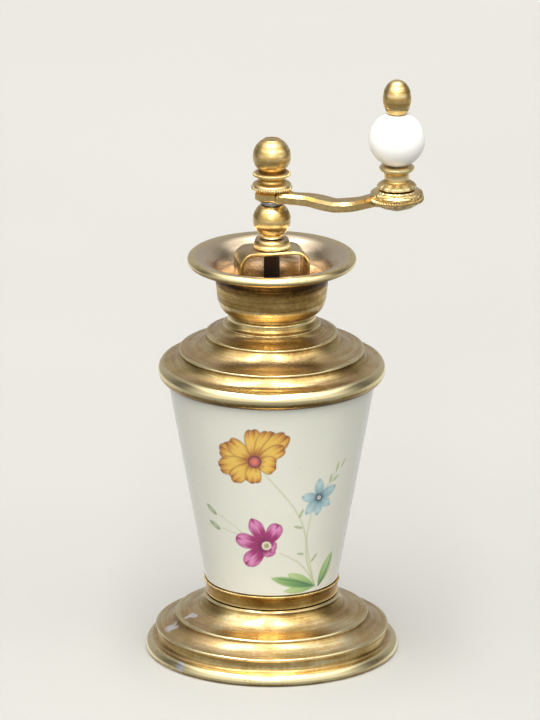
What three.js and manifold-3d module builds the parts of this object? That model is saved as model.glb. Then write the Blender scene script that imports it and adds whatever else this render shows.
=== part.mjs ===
// A hand-cranked pepper mill: brass foot, shoulder and bowl around a conical porcelain body.
// Millimetres, +Z up, origin on the mill's axis at the plane it stands on.
import * as THREE from "three";
import { mergeVertices } from "three/addons/utils/BufferGeometryUtils.js";
import Module from "manifold-3d";

const wasm = await Module();
wasm.setup();

// Driving dimensions
const gap = 0.3; // running and assembly clearance between neighbours
const footRadius = 35;
const footBandRadius = 32;
const footHeight = 16.8;
const porcelainBottom = 21.2;
const porcelainRadius = 18.52;
const porcelainTaper = 0.1786; // radius gained per millimetre of height
const porcelainTop = 79.4;
const porcelainWall = 3.3;
const shoulderBottom = 78.5;
const shoulderTop = 97.1;
const tubeRadius = 9.4;
const tubeWall = 0.8;
const tubeBottom = 9.2;
const bowlFloor = 98.9;
const plateThickness = 1;
const strapTop = 116;
const strapHalfSpan = 9.75;
const strapWidth = 10;
const strapThickness = 1;
const strapAngle = 61; // degrees from +X
const spindleSide = 3.8;
const driveSide = 3; // square that carries the crank hub
const threadRadius = 1.95;
const spindleBottom = 5.2;
const crankBottom = 130;
const crankThickness = 2.7;
const crankRadius = 34.7;
const crankAngle = 40.5; // degrees from +X at rest
const pinRadius = 1.5;
const knobBallRadius = 7.8;
const knobBallHeight = 148.8;
const burrTeeth = 12;
const curveSteps = 3; // straight pieces for each curved stretch of a turned outline

const boreRadius = tubeRadius + gap; // every hole that the tube passes through
const feedRadius = tubeRadius - tubeWall;
const flangeBottom = bowlFloor + gap;
const flangeThickness = 0.8;
const plateBottom = flangeBottom + flangeThickness + gap;
const strapBottom = plateBottom + plateThickness + gap;
const bearingBore = (spindleSide / 2) * Math.SQRT2 + gap;
const driveBore = (driveSide / 2) * Math.SQRT2 + gap;
const pinBore = pinRadius + 0.4;
const rivetPlace = 7;
const rivetRadius = 0.7;

const agedBrass = { color: 0x9a7a3e, roughness: 0.38, metalness: 1 };
const brightBrass = { color: 0xc9a557, roughness: 0.28, metalness: 1 };
const glazedPorcelain = { color: 0xd9d6c8, roughness: 0.15, metalness: 0 };
const whitePorcelain = { color: 0xf2f2ee, roughness: 0.1, metalness: 0 };
const blackenedSteel = { color: 0x3a3833, roughness: 0.45, metalness: 1 };
const brightSteel = { color: 0xa9a9a6, roughness: 0.3, metalness: 1 };
const cork = { color: 0x9c7650, roughness: 0.9, metalness: 0 };

function part(name, geometry, look) {
  const mesh = new THREE.Mesh(geometry, new THREE.MeshStandardMaterial(look));
  mesh.name = name;
  return mesh;
}

// A solid of revolution about Z from an outline of (radius, height) drawn on a path.
function turned(segments, drawOutline) {
  const outline = new THREE.Path();
  drawOutline(outline);
  const points = outline.getPoints(curveSteps);
  if (THREE.ShapeUtils.isClockWise(points)) points.reverse();
  return new THREE.LatheGeometry(points, segments).rotateX(Math.PI / 2);
}

function solidFrom(geometry) {
  const bare = geometry.clone();
  bare.deleteAttribute("normal");
  bare.deleteAttribute("uv");
  const merged = mergeVertices(bare, 1e-4);
  const index = merged.index ? merged.index.array : [...merged.attributes.position.array.keys()];
  return new wasm.Manifold(
    new wasm.Mesh({
      numProp: 3,
      vertProperties: new Float32Array(merged.attributes.position.array),
      triVerts: new Uint32Array(index),
    }),
  );
}

function geometryFrom(solid) {
  const mesh = solid.getMesh();
  const geometry = new THREE.BufferGeometry();
  geometry.setAttribute("position", new THREE.BufferAttribute(mesh.vertProperties, 3));
  geometry.setIndex(new THREE.BufferAttribute(mesh.triVerts, 1));
  geometry.computeVertexNormals();
  return geometry;
}

function rod(radius, bottom, top, segments = 16) {
  return new THREE.CylinderGeometry(radius, radius, top - bottom, segments)
    .rotateX(Math.PI / 2)
    .translate(0, 0, (bottom + top) / 2);
}

function squareBar(side, bottom, top) {
  return new THREE.BoxGeometry(side, side, top - bottom).translate(0, 0, (bottom + top) / 2);
}

function porcelainRadiusAt(height) {
  return porcelainRadius + porcelainTaper * (height - porcelainBottom);
}

// --- Foot and body -----------------------------------------------------------------------

function baseFoot() {
  return turned(40, (o) => {
    o.moveTo(30.4, 0);
    o.lineTo(34.2, 0);
    o.quadraticCurveTo(footRadius, 0, footRadius, 0.8);
    o.quadraticCurveTo(footRadius, 3.1, 33.3, 3.2);
    o.lineTo(footBandRadius, 3.7);
    o.lineTo(footBandRadius, 6.6);
    o.lineTo(footBandRadius - 0.6, 7);
    o.quadraticCurveTo(28.4, 8.1, 26.6, 10.7);
    o.lineTo(26, 11.1);
    o.quadraticCurveTo(19.4, 12.1, 18.4, footHeight);
    o.lineTo(boreRadius, footHeight);
    o.lineTo(boreRadius, 13.3);
    o.lineTo(16.4, 13);
    o.lineTo(24.5, 9.1);
    o.lineTo(29.4, 5);
    o.closePath();
  });
}

function baseFerrule() {
  return turned(32, (o) => {
    const bottom = footHeight + gap;
    const floor = 1.4;
    o.moveTo(boreRadius, bottom);
    o.lineTo(18.4, bottom);
    o.lineTo(18.9, porcelainBottom - 0.2);
    o.lineTo(17.2, porcelainBottom - 0.2);
    o.lineTo(17.2, bottom + floor);
    o.lineTo(boreRadius, bottom + floor);
    o.closePath();
  });
}

function lowerGasket() {
  return turned(24, (o) => {
    o.moveTo(10.5, 18.8);
    o.lineTo(16.9, 18.8);
    o.lineTo(16.9, 19.6);
    o.lineTo(10.5, 19.6);
    o.closePath();
  });
}

function porcelainBody() {
  return turned(40, (o) => {
    const spigotBottom = 19.9;
    const spigotRadius = 16.9;
    const floorTop = 24.4;
    const rim = porcelainTop + 0.6;
    o.moveTo(boreRadius, spigotBottom);
    o.lineTo(spigotRadius, spigotBottom);
    o.lineTo(spigotRadius, porcelainBottom + 0.1);
    o.lineTo(porcelainRadius, porcelainBottom + 0.1);
    o.lineTo(porcelainRadiusAt(porcelainTop), porcelainTop);
    o.lineTo(porcelainRadiusAt(porcelainTop) - 0.6, rim);
    o.lineTo(porcelainRadiusAt(rim) - porcelainWall, rim);
    o.lineTo(porcelainRadiusAt(floorTop) - porcelainWall, floorTop);
    o.lineTo(boreRadius, floorTop);
    o.closePath();
  });
}

function upperGasket() {
  return turned(28, (o) => {
    o.moveTo(26.1, 80.3);
    o.lineTo(28.7, 80.3);
    o.lineTo(28.7, 81.1);
    o.lineTo(26.1, 81.1);
    o.closePath();
  });
}

function shoulderCover() {
  return turned(40, (o) => {
    const skirt = porcelainRadiusAt(shoulderBottom) + gap + 0.05;
    o.moveTo(skirt, shoulderBottom);
    o.lineTo(29.4, shoulderBottom);
    o.bezierCurveTo(31.3, 78.9, 31.8, 81.4, 30.5, 83.5);
    o.quadraticCurveTo(26.4, 83.8, 25.5, 87);
    o.lineTo(24.9, 87.3);
    o.quadraticCurveTo(21.4, 88.3, 18, 91.8);
    o.quadraticCurveTo(14.8, 92.4, 13.5, 94);
    o.quadraticCurveTo(12.1, 95.2, 12.1, shoulderTop);
    o.lineTo(boreRadius, shoulderTop);
    o.lineTo(boreRadius, 94.4);
    o.lineTo(16.4, 90.4);
    o.lineTo(24, 85.2);
    o.lineTo(25.8, 81.4);
    o.lineTo(29.4, 81.4);
    o.lineTo(29.4, 80);
    o.closePath();
  });
}

function hopperBowl() {
  return turned(36, (o) => {
    const bottom = shoulderTop + gap;
    o.moveTo(boreRadius, bottom);
    o.lineTo(12, bottom);
    o.quadraticCurveTo(14.7, 98.7, 15.1, 102.4);
    o.lineTo(15.6, 106.4);
    o.quadraticCurveTo(16.3, 110.1, 23.3, 112.1);
    o.lineTo(23.1, 112.8);
    o.quadraticCurveTo(18.6, 115.5, 16.2, 112.4);
    o.quadraticCurveTo(14.3, 108, 14, 102.8);
    o.quadraticCurveTo(13.8, 100.2, 12.7, bowlFloor);
    o.lineTo(boreRadius, bowlFloor);
    o.closePath();
  });
}

// --- Feed and burrs ----------------------------------------------------------------------

function innerTube() {
  return turned(24, (o) => {
    o.moveTo(feedRadius, tubeBottom);
    o.lineTo(tubeRadius, tubeBottom);
    o.lineTo(tubeRadius, flangeBottom);
    o.lineTo(11.9, flangeBottom);
    o.lineTo(11.9, flangeBottom + flangeThickness);
    o.lineTo(feedRadius, flangeBottom + flangeThickness);
    o.closePath();
  });
}

function burrCapNut() {
  return turned(24, (o) => {
    const lip = 8;
    const bottom = 6.5;
    const lipTop = 7.7;
    const top = 13;
    o.moveTo(lip, bottom);
    o.lineTo(12, bottom);
    o.lineTo(12.5, bottom + 0.5);
    o.lineTo(12.5, top);
    o.lineTo(boreRadius, top);
    o.lineTo(boreRadius, lipTop);
    o.lineTo(lip, lipTop);
    o.closePath();
  });
}

// Pushes teeth out of a turned surface: between two radii, each tooth leans round as it rises.
function cutTeeth(geometry, innerLimit, outerLimit, depth, lean) {
  const position = geometry.attributes.position;
  for (let i = 0; i < position.count; i += 1) {
    const x = position.getX(i);
    const y = position.getY(i);
    const radius = Math.hypot(x, y);
    if (radius < innerLimit || radius > outerLimit) continue;
    const phase = Math.atan2(y, x) * burrTeeth + position.getZ(i) * lean;
    const scale = (radius + depth * Math.cos(phase)) / radius;
    position.setXY(i, x * scale, y * scale);
  }
  return geometry;
}

function femaleBurr() {
  const ring = turned(burrTeeth * 4, (o) => {
    o.moveTo(7.2, 8);
    o.lineTo(9.4, 8);
    o.lineTo(9.4, 8.9);
    o.lineTo(8.3, 8.9);
    o.lineTo(8.3, 17);
    o.lineTo(7.8, 17);
    o.lineTo(7, 13);
    o.closePath();
  });
  return cutTeeth(ring, 6.5, 7.9, 0.15, 0.25);
}

function maleBurr() {
  const cone = turned(burrTeeth * 4, (o) => {
    o.moveTo(bearingBore, 8.2);
    o.lineTo(6.4, 8.2);
    o.lineTo(6.4, 9.2);
    o.lineTo(5.6, 13);
    o.lineTo(4.4, 16.4);
    o.lineTo(4, 18.2);
    o.lineTo(bearingBore, 18.2);
    o.closePath();
  });
  return cutTeeth(cone, 3.6, 6.5, 0.25, 0.35);
}

function burrWasher() {
  return turned(20, (o) => {
    o.moveTo(2.3, 7.2);
    o.lineTo(4.4, 7.2);
    o.lineTo(4.4, 7.9);
    o.lineTo(2.3, 7.9);
    o.closePath();
  });
}

// A six-sided ring between two heights.
function burrNut() {
  const outline = new THREE.Shape();
  for (let corner = 0; corner < 6; corner += 1) {
    const angle = (corner * Math.PI) / 3;
    const point = [3.5 * Math.cos(angle), 3.5 * Math.sin(angle)];
    if (corner === 0) outline.moveTo(...point);
    else outline.lineTo(...point);
  }
  outline.closePath();
  outline.holes.push(new THREE.Path().absarc(0, 0, 2.25, 0, 2 * Math.PI));
  return new THREE.ExtrudeGeometry(outline, { depth: 1.2, bevelEnabled: false, curveSegments: 8 })
    .translate(0, 0, 5.7);
}

class Helix extends THREE.Curve {
  constructor(radius, bottom, top, turns) {
    super();
    Object.assign(this, { radius, bottom, top, turns });
  }

  getPoint(t, target = new THREE.Vector3()) {
    const angle = 2 * Math.PI * this.turns * t;
    const height = this.bottom + (this.top - this.bottom) * t;
    return target.set(this.radius * Math.cos(angle), this.radius * Math.sin(angle), height);
  }
}

function adjustingSpring() {
  const wire = 0.4;
  const turns = 5;
  const section = new THREE.Shape().absarc(0, 0, wire, 0, 2 * Math.PI);
  const path = new Helix(4, 19 + wire, 26.2 - wire, turns);
  return new THREE.ExtrudeGeometry(section, {
    extrudePath: path,
    steps: turns * 10,
    curveSegments: 3,
    bevelEnabled: false,
  });
}

function lowerGuide() {
  const outline = new THREE.Shape();
  const halfWidth = 3.9;
  const reach = 7.3;
  outline.moveTo(-reach, -halfWidth);
  outline.lineTo(reach, -halfWidth);
  outline.lineTo(reach, halfWidth);
  outline.lineTo(-reach, halfWidth);
  outline.closePath();
  outline.holes.push(new THREE.Path().absarc(0, 0, bearingBore, 0, 2 * Math.PI));
  return new THREE.ExtrudeGeometry(outline, { depth: 1.2, bevelEnabled: false, curveSegments: 8 })
    .translate(0, 0, 26.6);
}

// --- Bowl fittings, drawn with the strap along X -------------------------------------------

function kidneyHole(middle) {
  const inner = 4.4;
  const outer = 10.6;
  const half = (50 * Math.PI) / 180;
  const hole = new THREE.Path();
  hole.absarc(0, 0, outer, middle - half, middle + half, false);
  hole.absarc(0, 0, inner, middle + half, middle - half, true);
  hole.closePath();
  return hole;
}

function feedPlate() {
  const disc = new THREE.Shape().absarc(0, 0, 11.9, 0, 2 * Math.PI);
  disc.holes.push(new THREE.Path().absarc(0, 0, bearingBore, 0, 2 * Math.PI));
  disc.holes.push(kidneyHole(Math.PI / 2), kidneyHole(-Math.PI / 2));
  for (const side of [-1, 1]) {
    disc.holes.push(new THREE.Path().absarc(side * rivetPlace, 0, rivetRadius + gap, 0, 2 * Math.PI));
  }
  return new THREE.ExtrudeGeometry(disc, {
    depth: plateThickness,
    bevelEnabled: false,
    curveSegments: 8,
  }).translate(0, 0, plateBottom);
}

function bridgeStrap() {
  const corner = 4;
  const footReach = 5.4;
  const outside = strapHalfSpan;
  const inside = outside - strapThickness;
  const shape = new THREE.Shape();
  shape.moveTo(-footReach, strapBottom);
  shape.lineTo(-outside, strapBottom);
  shape.lineTo(-outside, strapTop - corner);
  shape.absarc(-outside + corner, strapTop - corner, corner, Math.PI, Math.PI / 2, true);
  shape.absarc(outside - corner, strapTop - corner, corner, Math.PI / 2, 0, true);
  shape.lineTo(outside, strapBottom);
  shape.lineTo(footReach, strapBottom);
  shape.lineTo(footReach, strapBottom + strapThickness);
  shape.lineTo(inside, strapBottom + strapThickness);
  shape.lineTo(inside, strapTop - corner);
  const bend = corner - strapThickness;
  shape.absarc(outside - corner, strapTop - corner, bend, 0, Math.PI / 2, false);
  shape.absarc(-outside + corner, strapTop - corner, bend, Math.PI / 2, Math.PI, false);
  shape.lineTo(-inside, strapBottom + strapThickness);
  shape.lineTo(-footReach, strapBottom + strapThickness);
  shape.closePath();
  const strap = new THREE.ExtrudeGeometry(shape, {
    depth: strapWidth,
    bevelEnabled: false,
    curveSegments: 6,
  });
  strap.rotateX(Math.PI / 2).translate(0, strapWidth / 2, 0);
  let solid = solidFrom(strap);
  solid = solid.subtract(solidFrom(rod(4, strapTop - 3, strapTop + 1, 24)));
  for (const side of [-1, 1]) {
    const hole = rod(rivetRadius + gap, strapBottom - 1, strapBottom + 2, 12);
    solid = solid.subtract(solidFrom(hole.translate(side * rivetPlace, 0, 0)));
  }
  return geometryFrom(solid);
}

function bridgeRivet() {
  return turned(10, (o) => {
    const head = strapBottom + strapThickness + gap;
    const tail = plateBottom - gap;
    o.moveTo(0, tail - 0.5);
    o.lineTo(1.1, tail - 0.5);
    o.lineTo(1.1, tail);
    o.lineTo(rivetRadius, tail);
    o.lineTo(rivetRadius, head);
    o.lineTo(1.5, head);
    o.quadraticCurveTo(1.3, head + 0.8, 0, head + 0.8);
  });
}

function bridgeBushing() {
  return turned(20, (o) => {
    const neck = 3.65;
    o.moveTo(bearingBore, 114.7);
    o.lineTo(neck, 114.7);
    o.lineTo(neck, strapTop + gap);
    o.lineTo(4.9, strapTop + gap);
    o.lineTo(5.1, 117.2);
    o.quadraticCurveTo(4.9, 118.7, 3.5, 119);
    o.lineTo(bearingBore, 119);
    o.closePath();
  });
}

// An arc of a ball's outline from one height to another.
function ballArc(o, radius, centre, from, to) {
  const start = Math.asin((from - centre) / radius);
  const end = Math.asin((to - centre) / radius);
  const pieces = 6;
  for (let i = 0; i <= pieces; i += 1) {
    const angle = start + ((end - start) * i) / pieces;
    o.lineTo(radius * Math.cos(angle), centre + radius * Math.sin(angle));
  }
}

function bridgeBall() {
  return turned(20, (o) => {
    o.moveTo(bearingBore, 119.3);
    o.lineTo(3.4, 119.3);
    o.lineTo(3.2, 120);
    ballArc(o, 5.2, 124.2, 120.3, 128.2);
    o.lineTo(bearingBore, 128.4);
    o.closePath();
  });
}

function thrustCollar() {
  return turned(16, (o) => {
    o.moveTo(driveBore, 128.7);
    o.lineTo(3.1, 128.7);
    o.lineTo(3.1, crankBottom - gap);
    o.lineTo(driveBore, crankBottom - gap);
    o.closePath();
  });
}

function spindle() {
  const squareBottom = 8;
  const squareTop = 127;
  const driveTop = 132.4;
  const threadTop = 139.5;
  const bite = 0.2; // overlap that joins one length to the next
  const solid = solidFrom(rod(threadRadius - 0.05, spindleBottom, squareBottom + bite))
    .add(solidFrom(squareBar(spindleSide, squareBottom, squareTop)))
    .add(solidFrom(squareBar(driveSide, squareTop - bite, driveTop)))
    .add(solidFrom(rod(threadRadius, driveTop - bite, threadTop)));
  return geometryFrom(solid);
}

// --- Crank and knob, drawn with the arm along X --------------------------------------------

function curveThrough(shape, points) {
  shape.splineThru(points.map(([x, y]) => new THREE.Vector2(x, y)));
}

// The arm swings out to a cusp at one side, like a bracket, and comes back to the knob's pin.
function crankOutline() {
  const shape = new THREE.Shape();
  const endRadius = 4.6;
  const armStart = [1.9, -4.6];
  const outerCusp = [18.4, -10.3];
  const innerCusp = [18.9, -4.4];
  const hubCorners = [[4.7, 2], [3, 3.5], [-3, 3.5], [-4.3, 2.2], [-4.3, -2.2], [-3, -3.6], [1.3, -3.8]];
  const neck = 29.5; // where the arm meets the round end
  shape.moveTo(...armStart);
  curveThrough(shape, [[9.5, -5.6], [14.4, -8.4], outerCusp]);
  curveThrough(shape, [[21.6, -10], [25, -7.8], [neck, -2.8]]);
  shape.lineTo(crankRadius, -endRadius);
  shape.absarc(crankRadius, 0, endRadius, -Math.PI / 2, Math.PI / 2, false);
  shape.lineTo(neck, 2.6);
  curveThrough(shape, [[26.3, 0.7], [23.9, -2.2], innerCusp]);
  curveThrough(shape, [[15.7, -2.3], [12, -0.8], [6.9, -0.5]]);
  for (const corner of hubCorners) shape.lineTo(...corner);
  shape.closePath();
  return shape;
}

function crankArm() {
  const bevel = 0.6;
  const bossTop = crankBottom + 1.2;
  const plate = new THREE.ExtrudeGeometry(crankOutline(), {
    depth: crankThickness - 2 * bevel,
    bevelEnabled: true,
    bevelSegments: 1,
    bevelSize: bevel,
    bevelThickness: bevel,
    bevelOffset: -bevel,
    curveSegments: 5,
  }).translate(0, 0, crankBottom + bevel);
  const boss = turned(28, (o) => {
    o.moveTo(0, crankBottom - gap);
    o.lineTo(4.5, crankBottom - gap);
    o.lineTo(6.9, bossTop);
    o.lineTo(0, bossTop);
  }).translate(crankRadius, 0, 0);
  const clearing = rod(7.6, bossTop, crankBottom + 5, 28).translate(crankRadius, 0, 0);
  const pinHole = rod(pinBore, crankBottom - 2, crankBottom + 5, 20).translate(crankRadius, 0, 0);
  const driveHole = rod(driveBore, crankBottom - 2, crankBottom + 5, 20);
  const solid = solidFrom(plate)
    .subtract(solidFrom(clearing))
    .add(solidFrom(boss))
    .subtract(solidFrom(pinHole))
    .subtract(solidFrom(driveHole));
  return geometryFrom(solid);
}

function knobRosette() {
  return turned(28, (o) => {
    const bottom = crankBottom + 1.5;
    o.moveTo(pinBore, bottom);
    o.lineTo(6.9, bottom);
    o.lineTo(7.3, bottom + 0.6);
    o.lineTo(7.3, 133.6);
    o.quadraticCurveTo(6.2, 134.4, 4.6, 134.6);
    o.lineTo(pinBore, 134.6);
    o.closePath();
  });
}

function knobPin() {
  return turned(12, (o) => {
    const headTop = crankBottom - 2 * gap;
    o.moveTo(0, headTop - 0.9);
    o.quadraticCurveTo(2.2, headTop - 0.9, 2.6, headTop);
    o.lineTo(pinRadius, headTop);
    o.lineTo(pinRadius, 158.4);
    o.lineTo(0, 158.4);
  });
}

function knobCollar() {
  return turned(20, (o) => {
    o.moveTo(pinBore, 134.9);
    o.lineTo(5.2, 134.9);
    o.lineTo(5.5, 135.6);
    o.quadraticCurveTo(5, 136.6, 3.5, 137.2);
    o.lineTo(3.5, 139.3);
    o.quadraticCurveTo(3.8, 140, 4.8, 140.2);
    o.lineTo(4.8, 141);
    o.lineTo(4.2, 141.4);
    o.lineTo(pinBore, 141.4);
    o.closePath();
  });
}

function knobBall() {
  return turned(24, (o) => {
    o.moveTo(pinBore, 141.7);
    ballArc(o, knobBallRadius, knobBallHeight, 141.7, 156);
    o.lineTo(pinBore, 156);
    o.closePath();
  });
}

function knobFinial() {
  return turned(20, (o) => {
    const base = 156.3;
    const widest = 160.7;
    const top = 165.7;
    const radius = 3.9;
    o.moveTo(0, 159.2);
    o.lineTo(pinBore, 159.2);
    o.lineTo(pinBore, base);
    o.lineTo(2.6, base);
    o.quadraticCurveTo(radius, 158, radius, widest);
    o.bezierCurveTo(radius, 163.6, 2.2, top, 0, top);
  });
}

function adjustingFinial() {
  return turned(20, (o) => {
    const bottom = crankBottom + crankThickness + gap;
    const bore = threadRadius + gap;
    const centre = 142.3;
    const radius = 5.25;
    o.moveTo(0, 141);
    o.lineTo(bore, 141);
    o.lineTo(bore, bottom);
    o.lineTo(4.8, bottom);
    o.lineTo(5.4, bottom + 0.5);
    o.lineTo(5.2, 134.5);
    o.quadraticCurveTo(3.8, 134.8, 3.6, 135.7);
    o.quadraticCurveTo(3.8, 136.3, 4.9, 136.8);
    o.lineTo(4.9, 137.6);
    o.lineTo(3.4, 138.1);
    ballArc(o, radius, centre, 138.4, 147.2);
    o.lineTo(0, 147.2);
  });
}

// --- Assembly ------------------------------------------------------------------------------

const group = new THREE.Group();
group.add(
  part("base_foot", baseFoot(), agedBrass),
  part("base_ferrule", baseFerrule(), agedBrass),
  part("lower_gasket", lowerGasket(), cork),
  part("porcelain_body", porcelainBody(), glazedPorcelain),
  part("upper_gasket", upperGasket(), cork),
  part("shoulder_cover", shoulderCover(), agedBrass),
  part("hopper_bowl", hopperBowl(), agedBrass),
  part("inner_tube", innerTube(), brightSteel),
  part("burr_cap_nut", burrCapNut(), agedBrass),
  part("female_burr", femaleBurr(), blackenedSteel),
  part("male_burr", maleBurr(), blackenedSteel),
  part("burr_washer", burrWasher(), brightSteel),
  part("burr_nut", burrNut(), brightSteel),
  part("adjusting_spring", adjustingSpring(), brightSteel),
);

const bridge = new THREE.Group();
bridge.rotation.z = THREE.MathUtils.degToRad(strapAngle);
const leftRivet = part("bridge_rivet_left", bridgeRivet(), brightSteel);
leftRivet.position.x = -rivetPlace;
const rightRivet = part("bridge_rivet_right", bridgeRivet(), brightSteel);
rightRivet.position.x = rivetPlace;
bridge.add(
  part("lower_guide", lowerGuide(), brightSteel),
  part("feed_plate", feedPlate(), agedBrass),
  part("bridge_strap", bridgeStrap(), agedBrass),
  leftRivet,
  rightRivet,
  part("bridge_bushing", bridgeBushing(), brightBrass),
  part("bridge_ball", bridgeBall(), brightBrass),
);
group.add(bridge);

const crank = new THREE.Group();
crank.rotation.z = THREE.MathUtils.degToRad(crankAngle);
crank.add(
  part("thrust_collar", thrustCollar(), brightSteel),
  part("spindle", spindle(), blackenedSteel),
  part("crank_arm", crankArm(), brightBrass),
  part("adjusting_finial", adjustingFinial(), brightBrass),
);

const knob = new THREE.Group();
knob.position.x = crankRadius;
knob.add(
  part("knob_rosette", knobRosette(), brightBrass),
  part("knob_pin", knobPin(), brightSteel),
  part("knob_collar", knobCollar(), brightBrass),
  part("knob_ball", knobBall(), whitePorcelain),
  part("knob_finial", knobFinial(), brightBrass),
);
crank.add(knob);
group.add(crank);

export default group;
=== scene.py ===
import math

import bmesh
import bpy
import numpy as np
from mathutils import Matrix, Vector


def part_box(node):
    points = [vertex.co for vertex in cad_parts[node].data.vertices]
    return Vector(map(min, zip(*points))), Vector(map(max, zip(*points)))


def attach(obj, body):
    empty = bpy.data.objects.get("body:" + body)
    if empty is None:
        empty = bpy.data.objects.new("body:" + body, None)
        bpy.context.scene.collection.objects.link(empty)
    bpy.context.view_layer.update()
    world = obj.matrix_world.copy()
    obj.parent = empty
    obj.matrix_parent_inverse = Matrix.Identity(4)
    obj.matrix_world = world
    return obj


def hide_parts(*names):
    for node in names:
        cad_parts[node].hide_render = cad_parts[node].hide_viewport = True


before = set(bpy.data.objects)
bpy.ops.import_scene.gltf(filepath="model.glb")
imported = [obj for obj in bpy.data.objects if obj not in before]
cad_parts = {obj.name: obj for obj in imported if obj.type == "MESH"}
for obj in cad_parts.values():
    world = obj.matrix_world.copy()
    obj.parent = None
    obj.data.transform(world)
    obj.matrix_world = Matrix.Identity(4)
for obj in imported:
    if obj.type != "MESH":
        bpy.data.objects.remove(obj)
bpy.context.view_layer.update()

mm = 0.001
frontAngle = -40.0  # where the painted side faces, degrees from +X
strapAngle = 61.0  # the bridge strap's length, degrees from +X


def bottomOf(node):
    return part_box(node)[0].z / mm


def topOf(node):
    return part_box(node)[1].z / mm


def heightOf(node):
    return topOf(node) - bottomOf(node)


def centreOf(node):
    low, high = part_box(node)
    return (low + high) / 2


knobPlace = centreOf("knob_ball").xy / mm
crankRadius = knobPlace.length
crankAngle = math.degrees(math.atan2(knobPlace.y, knobPlace.x))


# Outlines of turned pieces: radius and height in millimetres, heights from the node's own bottom

class Outline:
    def __init__(self, radius, height):
        self.points = [(radius, height)]

    def line(self, radius, height):
        self.points.append((radius, height))
        return self

    def curve(self, controlRadius, controlHeight, radius, height, steps=12):
        start = self.points[-1]
        for t in np.linspace(0, 1, steps + 1)[1:]:
            a, b, c = (1 - t) ** 2, 2 * t * (1 - t), t * t
            self.line(a * start[0] + b * controlRadius + c * radius,
                      a * start[1] + b * controlHeight + c * height)
        return self

    def wave(self, first, second, end, steps=20):  # a curve with two controls
        start = self.points[-1]
        for t in np.linspace(0, 1, steps + 1)[1:]:
            a, b, c, d = (1 - t) ** 3, 3 * t * (1 - t) ** 2, 3 * t * t * (1 - t), t ** 3
            self.line(a * start[0] + b * first[0] + c * second[0] + d * end[0],
                      a * start[1] + b * first[1] + c * second[1] + d * end[1])
        return self

    def ring(self, radius, height, out=0.2, tall=0.75):  # a small raised edge
        self.line(radius, height - tall / 2)
        self.line(radius + out, height - tall / 4)
        self.line(radius + out, height + tall / 4)
        return self.line(radius - 0.1, height + tall / 2)

    def arc(self, centreRadius, centreHeight, radius, start, end, steps=18):  # degrees
        for angle in np.radians(np.linspace(start, end, steps + 1)):
            self.line(centreRadius + radius * math.cos(angle),
                      centreHeight + radius * math.sin(angle))
        return self


def softened(points, closed, fillet, filletSteps=4, sharpTurn=25):
    # Rounds the sharp corners. Each point comes back with how sharply the outline turns there.
    area = sum(a[0] * b[1] - b[0] * a[1] for a, b in zip(points, points[1:] + points[:1]))
    if area < 0:
        points = points[::-1]
    rounded = []
    for i, point in enumerate(points):
        here = Vector(point)
        before = here - Vector(points[i - 1])
        after = Vector(points[(i + 1) % len(points)]) - here
        turn = math.atan2(before.x * after.y - before.y * after.x, before.dot(after))
        atEnd = not closed and i in (0, len(points) - 1)
        if atEnd or abs(turn) < math.radians(sharpTurn):
            rounded.append((here, 0))
            continue
        cut = min(fillet * math.tan(abs(turn) / 2), 0.3 * before.length, 0.3 * after.length)
        start, end = here - before.normalized() * cut, here + after.normalized() * cut
        rounded.append((start - before.normalized() * cut * 0.5, 0))  # keeps the flat flat
        for t in np.linspace(0, 1, filletSteps + 1).tolist():
            rounded.append(((1 - t) ** 2 * start + 2 * t * (1 - t) * here + t * t * end, turn))
        rounded.append((end + after.normalized() * cut * 0.5, 0))
    return rounded


def refined(rounded, closed, longest):
    # Divides long stretches, so that no step is longer than that
    fine = []
    last = len(rounded) if closed else len(rounded) - 1
    for i in range(last):
        here, turn = rounded[i]
        there = rounded[(i + 1) % len(rounded)][0]
        steps = max(1, math.ceil((there - here).length / longest))
        fine.append((here, turn))
        fine += [(here.lerp(there, k / steps), 0) for k in range(1, steps)]
    if not closed:
        fine.append(rounded[-1])
    return fine


def band(values, low, high, edge=0.6):  # 1 between the limits, 0 outside them
    return np.clip((values - low) / edge, 0, 1) * np.clip((high - values) / edge, 0, 1)


def nearCorners(run, turn, sign, reach):
    # 1 on corners that turn that way, down to 0 at the reach
    corners = [(run[i], min(1, abs(turn[i]) / 1.2)) for i in range(len(run)) if turn[i] * sign > 0]
    near = np.zeros(len(run))
    for place, strength in corners:
        near = np.maximum(near, strength * np.clip(1 - np.abs(run - place) / reach, 0, 1))
    return near


def addValues(mesh, name, values):
    layer = mesh.attributes.new(name, "FLOAT", "POINT")
    layer.data.foreach_set("value", np.asarray(values, np.float32))


wearReach = 0.5  # how far from a corner an edge is worn bright, in millimetres
grimeReach = 0.9  # and how far from a hollow one grime lies


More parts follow.
